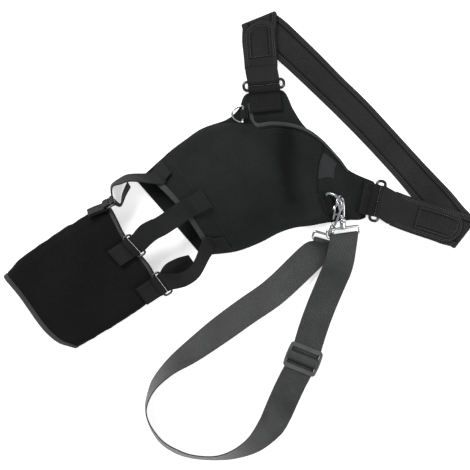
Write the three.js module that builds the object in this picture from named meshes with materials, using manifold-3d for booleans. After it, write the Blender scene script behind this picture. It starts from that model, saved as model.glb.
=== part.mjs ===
// Shoulder brace lying flat: a domed neoprene cap with a back panel, an arm cuff, three arm straps,
// a chest belt folded at both ends, and a shoulder strap clipped on with two swivel snap hooks.
// Millimetres. +X runs along the arm from the cuff to the shoulder, +Z is up, and Z = 0 is the floor.
import * as THREE from "three";
import { mergeVertices } from "three/addons/utils/BufferGeometryUtils.js";
import Module from "manifold-3d";

const wasm = await Module();
wasm.setup();

// Clearances
const clearance = 0.3;
const seat = 0.5;

// Cap: two neoprene panels, seamed along both sides and open at the sleeve and at the torso
const neoprene = 3;
const capLength = 246;
const capWidth = 166;
const domeRise = 44;
const torsoLift = 16;
const sleeveGap = 63;
const tapeThickness = 1.2;
const hemWidth = 7;
const neckTapeWidth = 5.5;

// Arm cuff: a flattened tube
const cuffLength = 160;
const cuffWidth = 139;
const cuffHeight = 27;
const lowerTapeWidth = 6.5;
const upperTapeWidth = 4.5;

// Arm straps with their loops and tabs
const armStrapWidth = 26;
const armStrapThickness = 1.8;
const loopLength = 35;
const loopDepth = 14;
const loopWire = 2.8;
const cuffTabLength = 26;

// Chest belt with its rings and tabs
const beltWidth = 46;
const beltThickness = 5;
const beltReach = 200;
const ringLength = 57;
const ringDepth = 15;
const ringWire = 4;
const ringTabWidth = 42;
const topTabLength = 30;
const wingTabLength = 16;
const tabThickness = 1.8;
const beltTabWidth = 42;
const beltTabLength = 80;
const patchWidth = 28;
const patchThickness = 1.2;

// D-rings
const dRingLength = 34;
const dRingDepth = 20;
const dRingWire = 3.4;
const dRingTilt = 34;
const dTabWidth = 24;
const dTabLength = 10;
const smallRingLength = 24;
const smallRingDepth = 17;
const smallRingWire = 2.8;
const smallRingTilt = -5;
const smallTabWidth = 12;
const smallTabLength = 6.5;

// Shoulder strap and its slider
const strapWidth = 38;
const strapThickness = 1.6;
const strapReach = 300;
const sliderLength = 35;
const sliderThickness = 3.5;
const sliderBar = 6;

// Swivel snap hooks
const hookLength = 35;
const hookWidth = 19;
const hookWire = 3.5;
const gateWire = 2.6;
const eyeLength = 47;
const eyeDepth = 14;
const eyeWire = 3.4;
const barrelDiameter = 8;
const barrelLength = 9;
const pinDiameter = 3.6;

const black = { color: 0x232525, roughness: 0.95, metalness: 0 };
const finishes = {
  neoprene: black,
  tape: { color: 0x4a4c4c, roughness: 0.9, metalness: 0 },
  webbing: { color: 0x303232, roughness: 0.8, metalness: 0 },
  belt: { color: 0x2c2e2e, roughness: 0.92, metalness: 0 },
  hookPatch: { color: 0x363838, roughness: 0.95, metalness: 0 },
  plastic: { color: 0x4c4e4e, roughness: 0.4, metalness: 0 },
  darkMetal: { color: 0x3a3c3e, roughness: 0.3, metalness: 0.9 },
  nickel: { color: 0xc9ccd0, roughness: 0.2, metalness: 1 },
};

const { lerp, clamp, degToRad } = THREE.MathUtils;
const up = new THREE.Vector3(0, 0, 1);
const vec = (x, y, z = 0) => new THREE.Vector3(x, y, z);
const plus = (p, direction, distance) => p.clone().addScaledVector(direction, distance);
const part = new THREE.Group();

function add(name, geometry, finish, parent = part) {
  const mesh = new THREE.Mesh(geometry, new THREE.MeshStandardMaterial(finishes[finish]));
  mesh.name = name;
  parent.add(mesh);
  return mesh;
}

// Rows of a table as objects with named columns.
function table(columns, rows) {
  const names = columns.split(" ");
  return rows.map((row) => Object.fromEntries(names.map((name, i) => [name, row[i]])));
}

function smoothValue(p0, p1, p2, p3, t) {
  const a = -p0 + 3 * p1 - 3 * p2 + p3;
  const b = 2 * p0 - 5 * p1 + 4 * p2 - p3;
  return 0.5 * (2 * p1 + (p2 - p0) * t + b * t * t + a * t * t * t);
}

// Every column of a table at a share of the way through its rows.
function sample(rows, share) {
  const at = clamp(share, 0, 1) * (rows.length - 1);
  const i = Math.min(Math.floor(at), rows.length - 2);
  const row = (k) => rows[clamp(k, 0, rows.length - 1)];
  const names = Object.keys(rows[0]);
  const values = names.map((name) =>
    smoothValue(row(i - 1)[name], row(i)[name], row(i + 1)[name], row(i + 2)[name], at - i),
  );
  return Object.fromEntries(names.map((name, k) => [name, values[k]]));
}

// A closed surface as a geometry whose faces point out.
function closed(points, index) {
  let volume = 0;
  for (let i = 0; i < index.length; i += 3) {
    const [a, b, c] = [points[index[i]], points[index[i + 1]], points[index[i + 2]]];
    volume += a.dot(b.clone().cross(c));
  }
  const order = [];
  for (let i = 0; i < index.length; i += 3) {
    order.push(index[i], index[i + (volume < 0 ? 2 : 1)], index[i + (volume < 0 ? 1 : 2)]);
  }
  const geometry = new THREE.BufferGeometry();
  geometry.setAttribute(
    "position",
    new THREE.Float32BufferAttribute(points.flatMap((p) => p.toArray()), 3),
  );
  geometry.setIndex(order);
  geometry.computeVertexNormals();
  return geometry;
}

// Solid wall between two grids of points. A round wall joins its last row to its first.
function wall(outer, inner, round = false) {
  const rows = outer.length;
  const last = outer[0].length - 1;
  const index = [];
  const at = (layer, i, j) => (layer * rows + (i % rows)) * (last + 1) + j;
  const quad = (a, b, c, d) => index.push(a, b, c, a, c, d);
  for (let i = 0; i < (round ? rows : rows - 1); i++) {
    for (let j = 0; j < last; j++) {
      quad(at(0, i, j), at(0, i + 1, j), at(0, i + 1, j + 1), at(0, i, j + 1));
      quad(at(1, i, j), at(1, i, j + 1), at(1, i + 1, j + 1), at(1, i + 1, j));
    }
    quad(at(0, i, 0), at(1, i, 0), at(1, i + 1, 0), at(0, i + 1, 0));
    quad(at(0, i, last), at(0, i + 1, last), at(1, i + 1, last), at(1, i, last));
  }
  for (let j = 0; j < last && !round; j++) {
    quad(at(0, 0, j), at(0, 0, j + 1), at(1, 0, j + 1), at(1, 0, j));
    quad(at(0, rows - 1, j), at(1, rows - 1, j), at(1, rows - 1, j + 1), at(0, rows - 1, j + 1));
  }
  return closed([...outer.flat(), ...inner.flat()], index);
}

// Numbers from a to b in equal steps.
const steps = (count, a = 0, b = 1) =>
  Array.from({ length: count + 1 }, (_, i) => lerp(a, b, i / count));

// Wire bent along points in a plane with the given normal.
function wire(points, diameter, normal, { loop = false, sides = 8 } = {}) {
  const count = points.length;
  const rings = points.map((p, i) => {
    const before = points[loop ? (i + count - 1) % count : Math.max(i - 1, 0)];
    const after = points[loop ? (i + 1) % count : Math.min(i + 1, count - 1)];
    const along = after.clone().sub(before).normalize();
    const across = normal.clone().cross(along).normalize();
    return Array.from({ length: sides }, (_, k) => {
      const angle = (2 * Math.PI * (k + 0.5)) / sides;
      const swung = plus(p, across, (Math.cos(angle) * diameter) / 2);
      return plus(swung, normal, (Math.sin(angle) * diameter) / 2);
    });
  });
  const index = [];
  const at = (i, k) => (i % count) * sides + (k % sides);
  for (let i = 0; i < (loop ? count : count - 1); i++) {
    for (let k = 0; k < sides; k++) {
      index.push(at(i, k), at(i + 1, k), at(i + 1, k + 1));
      index.push(at(i, k), at(i + 1, k + 1), at(i, k + 1));
    }
  }
  for (let k = 1; k < sides - 1 && !loop; k++) {
    index.push(at(0, 0), at(0, k), at(0, k + 1));
    index.push(at(count - 1, 0), at(count - 1, k + 1), at(count - 1, k));
  }
  return closed(rings.flat(), index);
}

function toSolid(geometry) {
  const bare = new THREE.BufferGeometry();
  bare.setAttribute("position", geometry.getAttribute("position"));
  bare.setIndex(geometry.getIndex());
  const merged = mergeVertices(bare, 1e-4);
  return new wasm.Manifold(
    new wasm.Mesh({
      numProp: 3,
      vertProperties: merged.attributes.position.array,
      triVerts: new Uint32Array(merged.index.array),
    }),
  );
}

function fromSolid(solid) {
  const mesh = solid.getMesh();
  const geometry = new THREE.BufferGeometry();
  geometry.setAttribute("position", new THREE.BufferAttribute(mesh.vertProperties, 3));
  geometry.setIndex(new THREE.BufferAttribute(mesh.triVerts, 1));
  geometry.computeVertexNormals();
  return geometry;
}

// Cylinder along X from one end to the other.
function rod(diameter, from, to, sides = 16) {
  const geometry = new THREE.CylinderGeometry(diameter / 2, diameter / 2, to - from, sides);
  geometry.rotateZ(-Math.PI / 2);
  geometry.translate((from + to) / 2, 0, 0);
  return geometry;
}

// A band's row: its middle point, and half of its crossing line from the first edge to the second.
const row = (middle, half) => ({ middle, half });

// A band through rows, with its thickness across the surface that they span.
function bandFaces(rows, thickness, offset = 0) {
  const faces = rows.map(({ middle, half }, i) => {
    const before = rows[Math.max(i - 1, 0)].middle;
    const after = rows[Math.min(i + 1, rows.length - 1)].middle;
    const normal = after.clone().sub(before).cross(half).normalize();
    const edge = (height) => {
      const centre = plus(middle, normal, height);
      return [centre.clone().sub(half), centre.clone().add(half)];
    };
    return [edge(offset + thickness / 2), edge(offset - thickness / 2)];
  });
  return wall(faces.map((f) => f[0]), faces.map((f) => f[1]));
}

// More rows between the given ones, on a smooth curve through them.
function smooth(rows, count) {
  const flat = rows.map(({ middle: m, half: h }) => ({
    x: m.x,
    y: m.y,
    z: m.z,
    hx: h.x,
    hy: h.y,
    hz: h.z,
  }));
  return steps(count).map((share) => {
    const s = sample(flat, share);
    return row(vec(s.x, s.y, s.z), vec(s.hx, s.hy, s.hz));
  });
}

// Half turn of a band: it leaves along `start` from the centre, bulges to `out` and ends opposite.
function turnRows(centre, start, out, radius, half, count = 8) {
  return steps(count, 0, Math.PI).map((angle) => {
    const p = plus(centre, start, Math.cos(angle) * radius);
    return row(plus(p, out, Math.sin(angle) * radius), half.clone());
  });
}

// Points of a rounded rectangle in the plane of two directions.
function roundedLoop(centre, along, across, length, depth, radius, corner = 3) {
  const points = [];
  for (const [i, [sx, sy]] of [[1, 1], [-1, 1], [-1, -1], [1, -1]].entries()) {
    for (const turn of steps(corner, 0, Math.PI / 2)) {
      const angle = turn + (i * Math.PI) / 2;
      const a = sx * (length / 2 - radius) + Math.cos(angle) * radius;
      const b = sy * (depth / 2 - radius) + Math.sin(angle) * radius;
      points.push(plus(plus(centre, along, a), across, b));
    }
  }
  return points;
}

// Rectangular wire ring whose outer size is length by depth.
function rectangularRing(centre, along, across, length, depth, size) {
  const path = roundedLoop(centre, along, across, length - size, depth - size, size * 1.1);
  return wire(path, size, along.clone().cross(across).normalize(), { loop: true });
}

// Cap panels, in rows from the sleeve to the wing. The top side is the one with the lug.
// along and across are shares of capLength and capWidth from the sleeve's middle,
// rise is a share of domeRise, lift a share of torsoLift at the torso opening, bow of capLength.
const capFront = table("alongTop acrossTop alongBottom acrossBottom rise lift bow", [
  [0, 0.428, 0.057, -0.331, 0.56, 0, 0.033],
  [0.138, 0.488, 0.171, -0.428, 0.8, 0, 0.012],
  [0.268, 0.506, 0.309, -0.476, 0.96, 0, 0],
  [0.398, 0.506, 0.427, -0.494, 1, 0, 0],
  [0.516, 0.434, 0.516, -0.53, 0.92, 0, 0],
  [0.593, 0.349, 0.581, -0.578, 0.74, 0, 0],
  [0.642, 0.304, 0.638, -0.614, 0.5, 0.15, 0],
  [0.711, 0.259, 0.687, -0.639, 0.3, 0.55, 0],
  [0.785, 0.169, 0.724, -0.669, 0.28, 0.9, 0],
  [0.837, 0.066, 0.756, -0.693, 0.3, 1, 0],
  [0.87, -0.066, 0.785, -0.717, 0.28, 0.85, 0],
  [0.894, -0.235, 0.809, -0.741, 0.16, 0.4, 0],
  [0.919, -0.392, 0.829, -0.753, 0, 0, 0],
  [1, -0.584, 0.878, -0.723, 0, 0, 0],
]);
const capBack = table("alongTop acrossTop alongBottom acrossBottom", [
  [-0.061, 0.452, 0.012, -0.319],
  [0.138, 0.5, 0.171, -0.44],
  [0.268, 0.518, 0.309, -0.488],
  [0.398, 0.518, 0.427, -0.506],
  [0.52, 0.476, 0.516, -0.542],
  [0.606, 0.494, 0.581, -0.59],
  [0.679, 0.56, 0.63, -0.62],
  [0.768, 0.494, 0.671, -0.645],
  [0.858, 0.422, 0.703, -0.669],
  [0.85, 0.259, 0.736, -0.693],
  [0.85, 0.114, 0.76, -0.711],
  [0.874, -0.066, 0.785, -0.729],
  [0.898, -0.247, 0.809, -0.753],
  [0.927, -0.404, 0.833, -0.771],
  [1, -0.572, 0.858, -0.777],
]);
const capMiddle = 3;

function capPlan(s, v) {
  const bow = (s.bow ?? 0) * Math.sin(Math.PI * v);
  const along = lerp(s.alongTop, s.alongBottom, v) + bow;
  const across = lerp(s.acrossTop, s.acrossBottom, v);
  return vec(sleeveGap + capLength * along, capMiddle + capWidth * across);
}

// Inner face of the front panel at shares u from sleeve to wing and v from top to bottom.
function frontInner(u, v) {
  const s = sample(capFront, u);
  const p = capPlan(s, v);
  const arch = Math.pow(Math.sin(Math.PI * clamp(v, 0, 1)), 0.8);
  p.z = neoprene + clearance + domeRise * Math.max(s.rise, 0) * arch;
  p.z += torsoLift * Math.max(s.lift, 0) * Math.pow(1 - v, 2);
  return p;
}

function frontFrame(u, v) {
  const e = 0.012;
  const du = frontInner(Math.min(u + e, 1), v).sub(frontInner(Math.max(u - e, 0), v)).normalize();
  const dv = frontInner(u, Math.min(v + e, 1)).sub(frontInner(u, Math.max(v - e, 0))).normalize();
  const normal = dv.clone().cross(du).normalize();
  if (normal.z < 0) normal.negate();
  return { along: du, across: dv, normal };
}

// Point above the front panel's outer face.
function onFront(u, v, height) {
  return plus(frontInner(u, v), frontFrame(u, v).normal, neoprene + height);
}

const uSteps = 24;
const vSteps = 12;
const frontGrid = (height) =>
  steps(uSteps).map((u) => steps(vSteps).map((v) => onFront(u, v, height)));
add("cap_front_panel", wall(frontGrid(0), frontGrid(-neoprene)), "neoprene");

const backGrid = (height) =>
  steps(28).map((u) => steps(1).map((v) => capPlan(sample(capBack, u), v).setZ(height)));
add("cap_back_panel", wall(backGrid(neoprene), backGrid(0)), "neoprene");

// Thin piece that lies on the front panel.
function frontPiece(us, vsOf, height, thickness) {
  const grid = (z) => us.map((u) => vsOf(u).map((v) => onFront(u, v, z)));
  return wall(grid(height + thickness), grid(height));
}

const rowLength = (u) => frontInner(u, 0).distanceTo(frontInner(u, 1));
const sideLength = (v) =>
  steps(20).slice(1).reduce((sum, u) => sum + frontInner(u, v).distanceTo(frontInner(u - 0.05, v)), 0);
const hemShare = hemWidth / sideLength(0.5);
add(
  "cap_sleeve_hem",
  frontPiece([0.001, hemShare], () => steps(vSteps, 0.02, 0.98), seat, tapeThickness),
  "tape",
);
const neckFrom = 11 / uSteps;
const neckTo = 22 / uSteps;
add(
  "cap_neck_binding",
  frontPiece(
    steps(11, neckFrom, neckTo),
    (u) => [0.004, neckTapeWidth / rowLength(u)],
    seat,
    tapeThickness,
  ),
  "tape",
);
add(
  "wing_patch",
  frontPiece(
    steps(4, 16 / uSteps, 20 / uSteps),
    () => steps(3, 4 / vSteps, 7 / vSteps),
    seat,
    tapeThickness / 2,
  ),
  "neoprene",
);

// Webbing folded round a ring's bar, both leaves running back from it over the seat.
// `under` gives the seat's height above its level at the bar, at a distance back from it.
function tabOnSurface(tab) {
  const { place, side, out, normal, size, width, length, thickness, gap, under = () => 0 } = tab;
  const half = side.clone().multiplyScalar(width / 2);
  const reach = size / 2 + clearance + thickness / 2;
  const bar = plus(place, normal, gap + thickness / 2 + reach);
  const at = (share, height) => {
    const back = share * length;
    return row(plus(plus(bar, out, -back), normal, height - reach + under(back)), half.clone());
  };
  const upper = thickness + clearance;
  const rows = [
    ...[1, 0.66, 0.33].map((share) => at(share, 0)),
    ...turnRows(bar, normal.clone().negate(), out, reach, half, 6),
    at((1.2 * reach) / length, lerp(2 * reach, upper, 0.3)),
    ...steps(2, (2 * reach) / length, 1).map((share) => at(share, upper)),
  ];
  return { bar, rows };
}

// Rings at the lug and at the wing: their bars lie along the ends of the back panel.
function capRing(name, from, to, layers, length) {
  const side = to.clone().sub(from).normalize();
  const out = side.clone().cross(up).negate();
  const place = from.clone().add(to).multiplyScalar(0.5);
  place.z = layers * neoprene + (layers - 1) * clearance;
  const { bar, rows } = tabOnSurface({
    place: plus(place, out, ringWire / 2 + clearance + tabThickness),
    side,
    out,
    normal: up,
    size: ringWire,
    width: ringTabWidth,
    length,
    thickness: tabThickness,
    gap: layers > 1 ? 2 * seat : clearance,
  });
  add(name + "_ring_tab", bandFaces(rows, tabThickness), "webbing");
  const centre = plus(bar, out, (ringDepth - ringWire) / 2);
  add(
    name + "_ring",
    rectangularRing(centre, side, out, ringLength, ringDepth, ringWire),
    "darkMetal",
  );
  return { side, out, centre, far: plus(bar, out, ringDepth - ringWire) };
}

const lugFrom = capPlan(sample(capBack, 6 / 14), 0);
const lugTo = capPlan(sample(capBack, 8 / 14), 0);
const topRing = capRing("top", lugFrom, lugTo, 1, topTabLength);
const wingFrom = capPlan(sample(capBack, 1), 0);
const wingTo = capPlan(sample(capBack, 1), 1);
const wingRing = capRing("wing", wingFrom, wingTo, 2, wingTabLength);

// Chest belt. Rows start at the top ring: follow 0 moves with that ring and 1 with the wing's,
// along and across are shares of beltReach, turn is the crossing line's angle in degrees,
// wide is its length as a share of beltWidth, and level counts the leaves below it.
const beltLeaves = table("follow along across turn wide level", [
  [0, 0.045, 0.1, -29, 0.944, 0.5],
  [0, 0.085, 0.17, -26, 0.96, 0.9],
  [0, 0.145, 0.28, -19, 1, 1],
  [0, 0.205, 0.365, -11, 1.06, 1],
]);
const beltBow = table("follow along across turn wide level", [
  [0, 0.205, 0.365, -11, 1.06, 0],
  [0, 0.235, 0.27, 6, 0.98, 0],
  [0, 0.26, 0.177, 14, 0.962, 0],
  [0.15, 0.282, 0.114, 7, 0.941, 0],
  [0.35, 0.284, 0.124, 3, 0.914, 0],
  [0.5, 0.301, 0.069, -3, 0.936, 0],
  [0.65, 0.318, -0.034, -7, 0.919, 0],
  [0.85, 0.323, -0.107, -8, 0.926, 0],
  [1, 0.33, -0.21, 1, 0.979, 0],
  [1, 0.344, -0.35, 10, 1, 0],
  [1, 0.362, -0.475, 19, 1.06, 0],
]);
const beltWingLeaves = table("follow along across turn wide level", [
  [1, 0.362, -0.475, 19, 1.06, 1],
  [1, 0.303, -0.405, 30, 1.04, 1],
  [1, 0.253, -0.34, 38, 1.02, 1],
  [1, 0.135, -0.198, 42, 0.988, 1],
  [1, 0.06, -0.095, 45, 0.984, 1],
]);
const leafStep = beltThickness + 2 * clearance;

function beltRow(s) {
  const base = topRing.centre.clone().lerp(wingRing.centre, s.follow);
  const middle = vec(base.x + s.along * beltReach, base.y + s.across * beltReach);
  middle.z = beltThickness / 2 + s.level * leafStep;
  const angle = degToRad(s.turn);
  const half = vec(Math.cos(angle), Math.sin(angle)).multiplyScalar((s.wide * beltWidth) / 2);
  return row(middle, half);
}

// Fold of the belt over a slanted line, from the leaf at one height to the leaf at the other.
function beltFold(from, to, out) {
  const centre = from.middle.clone().add(to.middle).multiplyScalar(0.5);
  const start = from.middle.clone().sub(centre);
  const radius = start.length();
  return turnRows(centre, start.normalize(), out, radius, from.half, 8).slice(1, -1);
}

const leafRows = smooth(beltLeaves.map(beltRow), 9);
const bowRows = smooth(beltBow.map(beltRow), 30);
const wingRows = smooth(beltWingLeaves.map(beltRow), 12);
const outward = (half, side) => half.clone().cross(up).normalize().multiplyScalar(side);
const topFold = beltFold(leafRows.at(-1), bowRows[0], outward(leafRows.at(-1).half, -1));
const wingFold = beltFold(bowRows.at(-1), wingRows[0], outward(wingRows[0].half, 1));
add(
  "chest_belt",
  bandFaces([...leafRows, ...topFold, ...bowRows, ...wingFold, ...wingRows], beltThickness),
  "belt",
);

// U-shaped tab: under the belt's end, round the ring's far bar and back on top of the belt.
function beltTab(name, ring, leaf) {
  const reach = ringWire / 2 + clearance + tabThickness / 2;
  const out = ring.out.clone().negate();
  const half = ring.side.clone().multiplyScalar(beltTabWidth / 2);
  const facing = (p) => (p.half.dot(half) < 0 ? -1 : 1);
  const overBelt = (share) => {
    const p = sampleRows(leaf, share);
    const height = beltThickness / 2 + clearance + tabThickness / 2;
    const wide = p.half.clone().setLength(beltTabWidth / 2).multiplyScalar(facing(p));
    return row(plus(p.middle, up, height), wide);
  };
  const start = sampleRows(leaf, 0);
  const drop = beltThickness / 2 + clearance + tabThickness / 2;
  const startHalf = start.half.clone().setLength(beltTabWidth / 2).multiplyScalar(facing(start));
  const under = [0.12, 0.02, -0.04].map((share) =>
    row(
      plus(start.middle, ring.out, beltTabLength * share).setZ(start.middle.z - drop),
      startHalf.clone(),
    ),
  );
  const over = steps(10, 0.02, 0.86).map(overBelt);
  const tip = over.at(-1);
  const before = over.at(-2);
  const ahead = tip.middle.clone().sub(before.middle).normalize();
  const roundEnd = steps(5, 0.18, 0.98).map((share) => {
    const bulge = (share * beltTabWidth) / 2.4;
    const narrow = Math.sqrt(1 - share * share);
    return row(plus(tip.middle, ahead, bulge), tip.half.clone().multiplyScalar(narrow));
  });
  const rows = [
    ...under,
    ...turnRows(ring.far, up.clone().negate(), out, reach, half, 6),
    ...over,
    ...roundEnd,
  ];
  add("belt_tab_" + name, bandFaces(rows, tabThickness), "webbing");
  const height = tabThickness / 2 + clearance + patchThickness / 2;
  const share = patchWidth / beltTabWidth;
  const patchRows = [...over.slice(4), ...roundEnd.slice(0, 4)].map((p) =>
    row(plus(p.middle, up, height), p.half.clone().multiplyScalar(share)),
  );
  add("belt_patch_" + name, bandFaces(patchRows, patchThickness), "hookPatch");
}

// Row at a share of the way along a list of rows.
function sampleRows(rows, share) {
  const at = clamp(share, 0, 1) * (rows.length - 1);
  const i = Math.min(Math.floor(at), rows.length - 2);
  const a = rows[i];
  const b = rows[i + 1];
  return row(a.middle.clone().lerp(b.middle, at - i), a.half.clone().lerp(b.half, at - i));
}

beltTab("top", topRing, leafRows);
beltTab("wing", wingRing, [...wingRows].reverse());

// Arm cuff: sections from the lower end to the cap, each a flattened tube.
// near and far are shares of cuffWidth from the arm's axis to its two folds.
const cuffFolds = table("near far", [
  [-0.45, 0.49],
  [-0.46, 0.53],
  [-0.463, 0.545],
  [-0.463, 0.552],
  [-0.463, 0.55],
  [-0.46, 0.54],
  [-0.455, 0.5],
]);
// Ends of the cuff from the near fold to the far one, as shares of cuffLength.
const cuffEnds = table("lower upper", [
  [0.14, 0.006],
  [0.06, 0.003],
  [0.022, 0.012],
  [0.008, 0],
  [0.004, -0.02],
  [0, -0.02],
  [-0.012, -0.006],
  [-0.03, 0.006],
]);

// Point of the cuff at share t of its length and share w round it, from the far fold over the top.
function onCuff(t, w, height) {
  const folds = sample(cuffFolds, t);
  const near = folds.near * cuffWidth;
  const far = folds.far * cuffWidth;
  const radius = cuffHeight / 2;
  const flat = far - near - 2 * radius;
  const length = 2 * flat + 2 * Math.PI * radius;
  const s = ((((w % 1) + 1) % 1) * length + (Math.PI * radius) / 2) % length;
  const r = radius + height;
  let y;
  let z;
  if (s < Math.PI * radius) {
    y = far - radius + r * Math.sin(s / radius);
    z = radius - r * Math.cos(s / radius);
  } else if (s < Math.PI * radius + flat) {
    y = far - radius - (s - Math.PI * radius);
    z = radius + r;
  } else if (s < 2 * Math.PI * radius + flat) {
    const angle = (s - Math.PI * radius - flat) / radius;
    y = near + radius - r * Math.sin(angle);
    z = radius + r * Math.cos(angle);
  } else {
    y = near + radius + (s - 2 * Math.PI * radius - flat);
    z = radius - r;
  }
  const ends = sample(cuffEnds, clamp((y - near) / (far - near), 0, 1));
  const x = lerp(cuffLength * (ends.lower - 1), cuffLength * ends.upper, t);
  return vec(x, y, z);
}

const roundCuff = 32;
const around = Array.from({ length: roundCuff }, (_, i) => i / roundCuff);
function cuffWall(from, to, count, outside, inside) {
  const grid = (height) => around.map((w) => steps(count, from, to).map((t) => onCuff(t, w, height)));
  return wall(grid(outside), grid(inside), true);
}
const lowerShare = lowerTapeWidth / cuffLength;
const upperShare = upperTapeWidth / cuffLength;
const cuffGap = clearance / cuffLength;
add("arm_cuff", cuffWall(lowerShare, 1 - upperShare, 6, 0, -neoprene), "neoprene");
add("cuff_lower_binding", cuffWall(0, lowerShare - cuffGap, 1, 0, -neoprene), "tape");
add("cuff_upper_binding", cuffWall(1 - upperShare + cuffGap, 1, 1, 0, -neoprene), "tape");

// Tabs and loops at the cuff's upper end, at shares round the cuff.
const cuffTabs = table("around", [[0.018], [0.235], [0.437]]);
const armLoops = cuffTabs.map(({ around: w }, i) => {
  const t = 1 - upperShare / 2;
  const place = onCuff(t, w, 0);
  const side = onCuff(t, w + 0.01, 0).sub(onCuff(t, w - 0.01, 0)).normalize();
  const out = vec(1, 0);
  const normal = out.clone().cross(side).negate().normalize();
  const facing = normal.dot(onCuff(t, w, 1).sub(place)) < 0 ? -1 : 1;
  normal.multiplyScalar(facing);
  const { bar, rows } = tabOnSurface({
    place,
    side,
    out,
    normal,
    size: loopWire,
    width: armStrapWidth,
    length: cuffTabLength,
    thickness: armStrapThickness,
    gap: seat,
    under: (back) => onCuff(t - back / cuffLength, w, 0).sub(place).dot(normal),
  });
  add("cuff_tab_" + (i + 1), bandFaces(rows, armStrapThickness), "webbing");
  const centre = plus(bar, out, (loopDepth - loopWire) / 2);
  add(
    "cuff_ring_" + (i + 1),
    rectangularRing(centre, side, out, loopLength, loopDepth, loopWire),
    "darkMetal",
  );
  return { side, out, normal, far: plus(bar, out, loopDepth - loopWire) };
});

// Arm straps: from the sewn end on the cap to the loop, round its bar and back along themselves.
// Seated rows are shares on the front panel; free rows are shares of sleeveGap along, of cuffWidth
// across and of armStrapWidth up, with the lean of the crossing line in degrees.
function armStrap(number, seated, outer, inner, towards) {
  const loop = armLoops[number - 1];
  const size = armStrapWidth / 2;
  const reach = loopWire / 2 + clearance + armStrapThickness / 2;
  const height = 3 * seat + tapeThickness + armStrapThickness / 2;
  const free = (s) => {
    const angle = degToRad(s.lean);
    const heading = degToRad(s.heading);
    const flat = vec(Math.cos(heading), Math.sin(heading)).multiplyScalar(Math.cos(angle) * size);
    const middle = vec(s.along * sleeveGap, s.across * cuffWidth, s.rise * armStrapWidth);
    return row(middle, flat.setZ(Math.sin(angle) * size * towards));
  };
  const start = seated.map(({ u, v }) => {
    const half = frontFrame(u, v).across.multiplyScalar(size);
    return row(onFront(u, v, height), half);
  });
  const half = loop.side.clone().multiplyScalar(size);
  if (half.dot(start.at(-1).half) < 0) half.negate();
  const turn = turnRows(loop.far, loop.normal, loop.out.clone().negate(), reach, half, 6);
  const first = smooth([...start, ...outer.map(free), turn[0]], 22);
  const second = smooth([turn.at(-1), ...inner.map(free)], 12);
  const rows = [...first, ...turn.slice(1, -1), ...second];
  add("arm_strap_" + number, bandFaces(rows, armStrapThickness), "webbing");
}

const seatedRows = (rows) => table("u v", rows);
const freeRows = (rows) => table("along across rise heading lean", rows);
armStrap(
  1,
  seatedRows([[0.062, 0.1], [0.042, 0.1], [0.02, 0.1]]),
  freeRows([
    [0.7, 0.612, 0.6, -90, 62],
    [0.46, 0.64, 0.58, -90, 70],
    [0.27, 0.64, 0.56, -80, 78],
  ]),
  freeRows([
    [0.22, 0.45, 0.56, -80, 80],
    [0.4, 0.515, 0.56, -60, 74],
    [0.6, 0.57, 0.58, -85, 68],
  ]),
  1,
);
armStrap(
  2,
  seatedRows([[0.105, 0.5], [0.06, 0.5], [0.015, 0.5]]),
  freeRows([[0.75, 0.07, 1.35, -90, 0], [0.45, 0.08, 1.3, -90, 0]]),
  freeRows([[0.35, 0.09, 1.15, -90, 0], [0.62, 0.08, 1.17, -90, 0]]),
  1,
);
armStrap(
  3,
  seatedRows([[0.078, 0.9], [0.05, 0.9], [0.02, 0.9]]),
  freeRows([
    [0.8, -0.45, 0.82, -90, 48],
    [0.5, -0.46, 0.98, -90, 44],
    [0.3, -0.42, 1.16, -90, 28],
  ]),
  freeRows([
    [0.34, -0.33, 0.86, -90, 30],
    [0.6, -0.33, 0.62, -90, 40],
    [0.84, -0.36, 0.5, -90, 44],
  ]),
  -1,
);

// D-ring in a folded tab on a seat with the given normal; its bar lies along `side`.
function dRing(name, ring) {
  const { place, side, normal, length, depth, size, tilt } = ring;
  const out = normal.clone().cross(side).normalize();
  const { bar, rows } = tabOnSurface({
    place,
    side,
    out,
    normal,
    size,
    width: ring.tabWidth,
    length: ring.tabLength,
    thickness: tabThickness,
    gap: seat,
  });
  add(name + "_tab", bandFaces(rows, tabThickness), "webbing");
  const lean = degToRad(tilt);
  const rise = out.clone().multiplyScalar(Math.cos(lean)).addScaledVector(normal, Math.sin(lean));
  const half = (length - size) / 2;
  const arc = (angle) =>
    plus(plus(bar, side, Math.cos(angle) * half), rise, Math.sin(angle) * (depth - size));
  const path = steps(14, 0, Math.PI).map(arc);
  add(name, wire(path, size, side.clone().cross(rise).normalize(), { loop: true }), "nickel");
  return { bar, arc };
}

// The large D-ring on the front panel, which both hooks are clipped on.
const frontPlace = { u: 0.629, v: 0.818, spin: -2 };
const frontSeat = frontFrame(frontPlace.u, frontPlace.v);
const frontRing = dRing("d_ring_front", {
  place: onFront(frontPlace.u, frontPlace.v, clearance),
  side: frontSeat.across.clone().applyAxisAngle(frontSeat.normal, degToRad(frontPlace.spin)),
  normal: frontSeat.normal,
  length: dRingLength,
  depth: dRingDepth,
  size: dRingWire,
  tilt: dRingTilt,
  tabWidth: dTabWidth,
  tabLength: dTabLength,
});

// The small D-ring lies flat on the back panel beside the lug.
const smallPlace = { u: 0.36, v: 0.054, heading: 55 };
const smallHeading = degToRad(smallPlace.heading);
dRing("d_ring_top", {
  place: capPlan(sample(capBack, smallPlace.u), smallPlace.v).setZ(neoprene),
  side: vec(Math.cos(smallHeading), Math.sin(smallHeading)),
  normal: up,
  length: smallRingLength,
  depth: smallRingDepth,
  size: smallRingWire,
  tilt: smallRingTilt,
  tabWidth: smallTabWidth,
  tabLength: smallTabLength,
});

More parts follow.
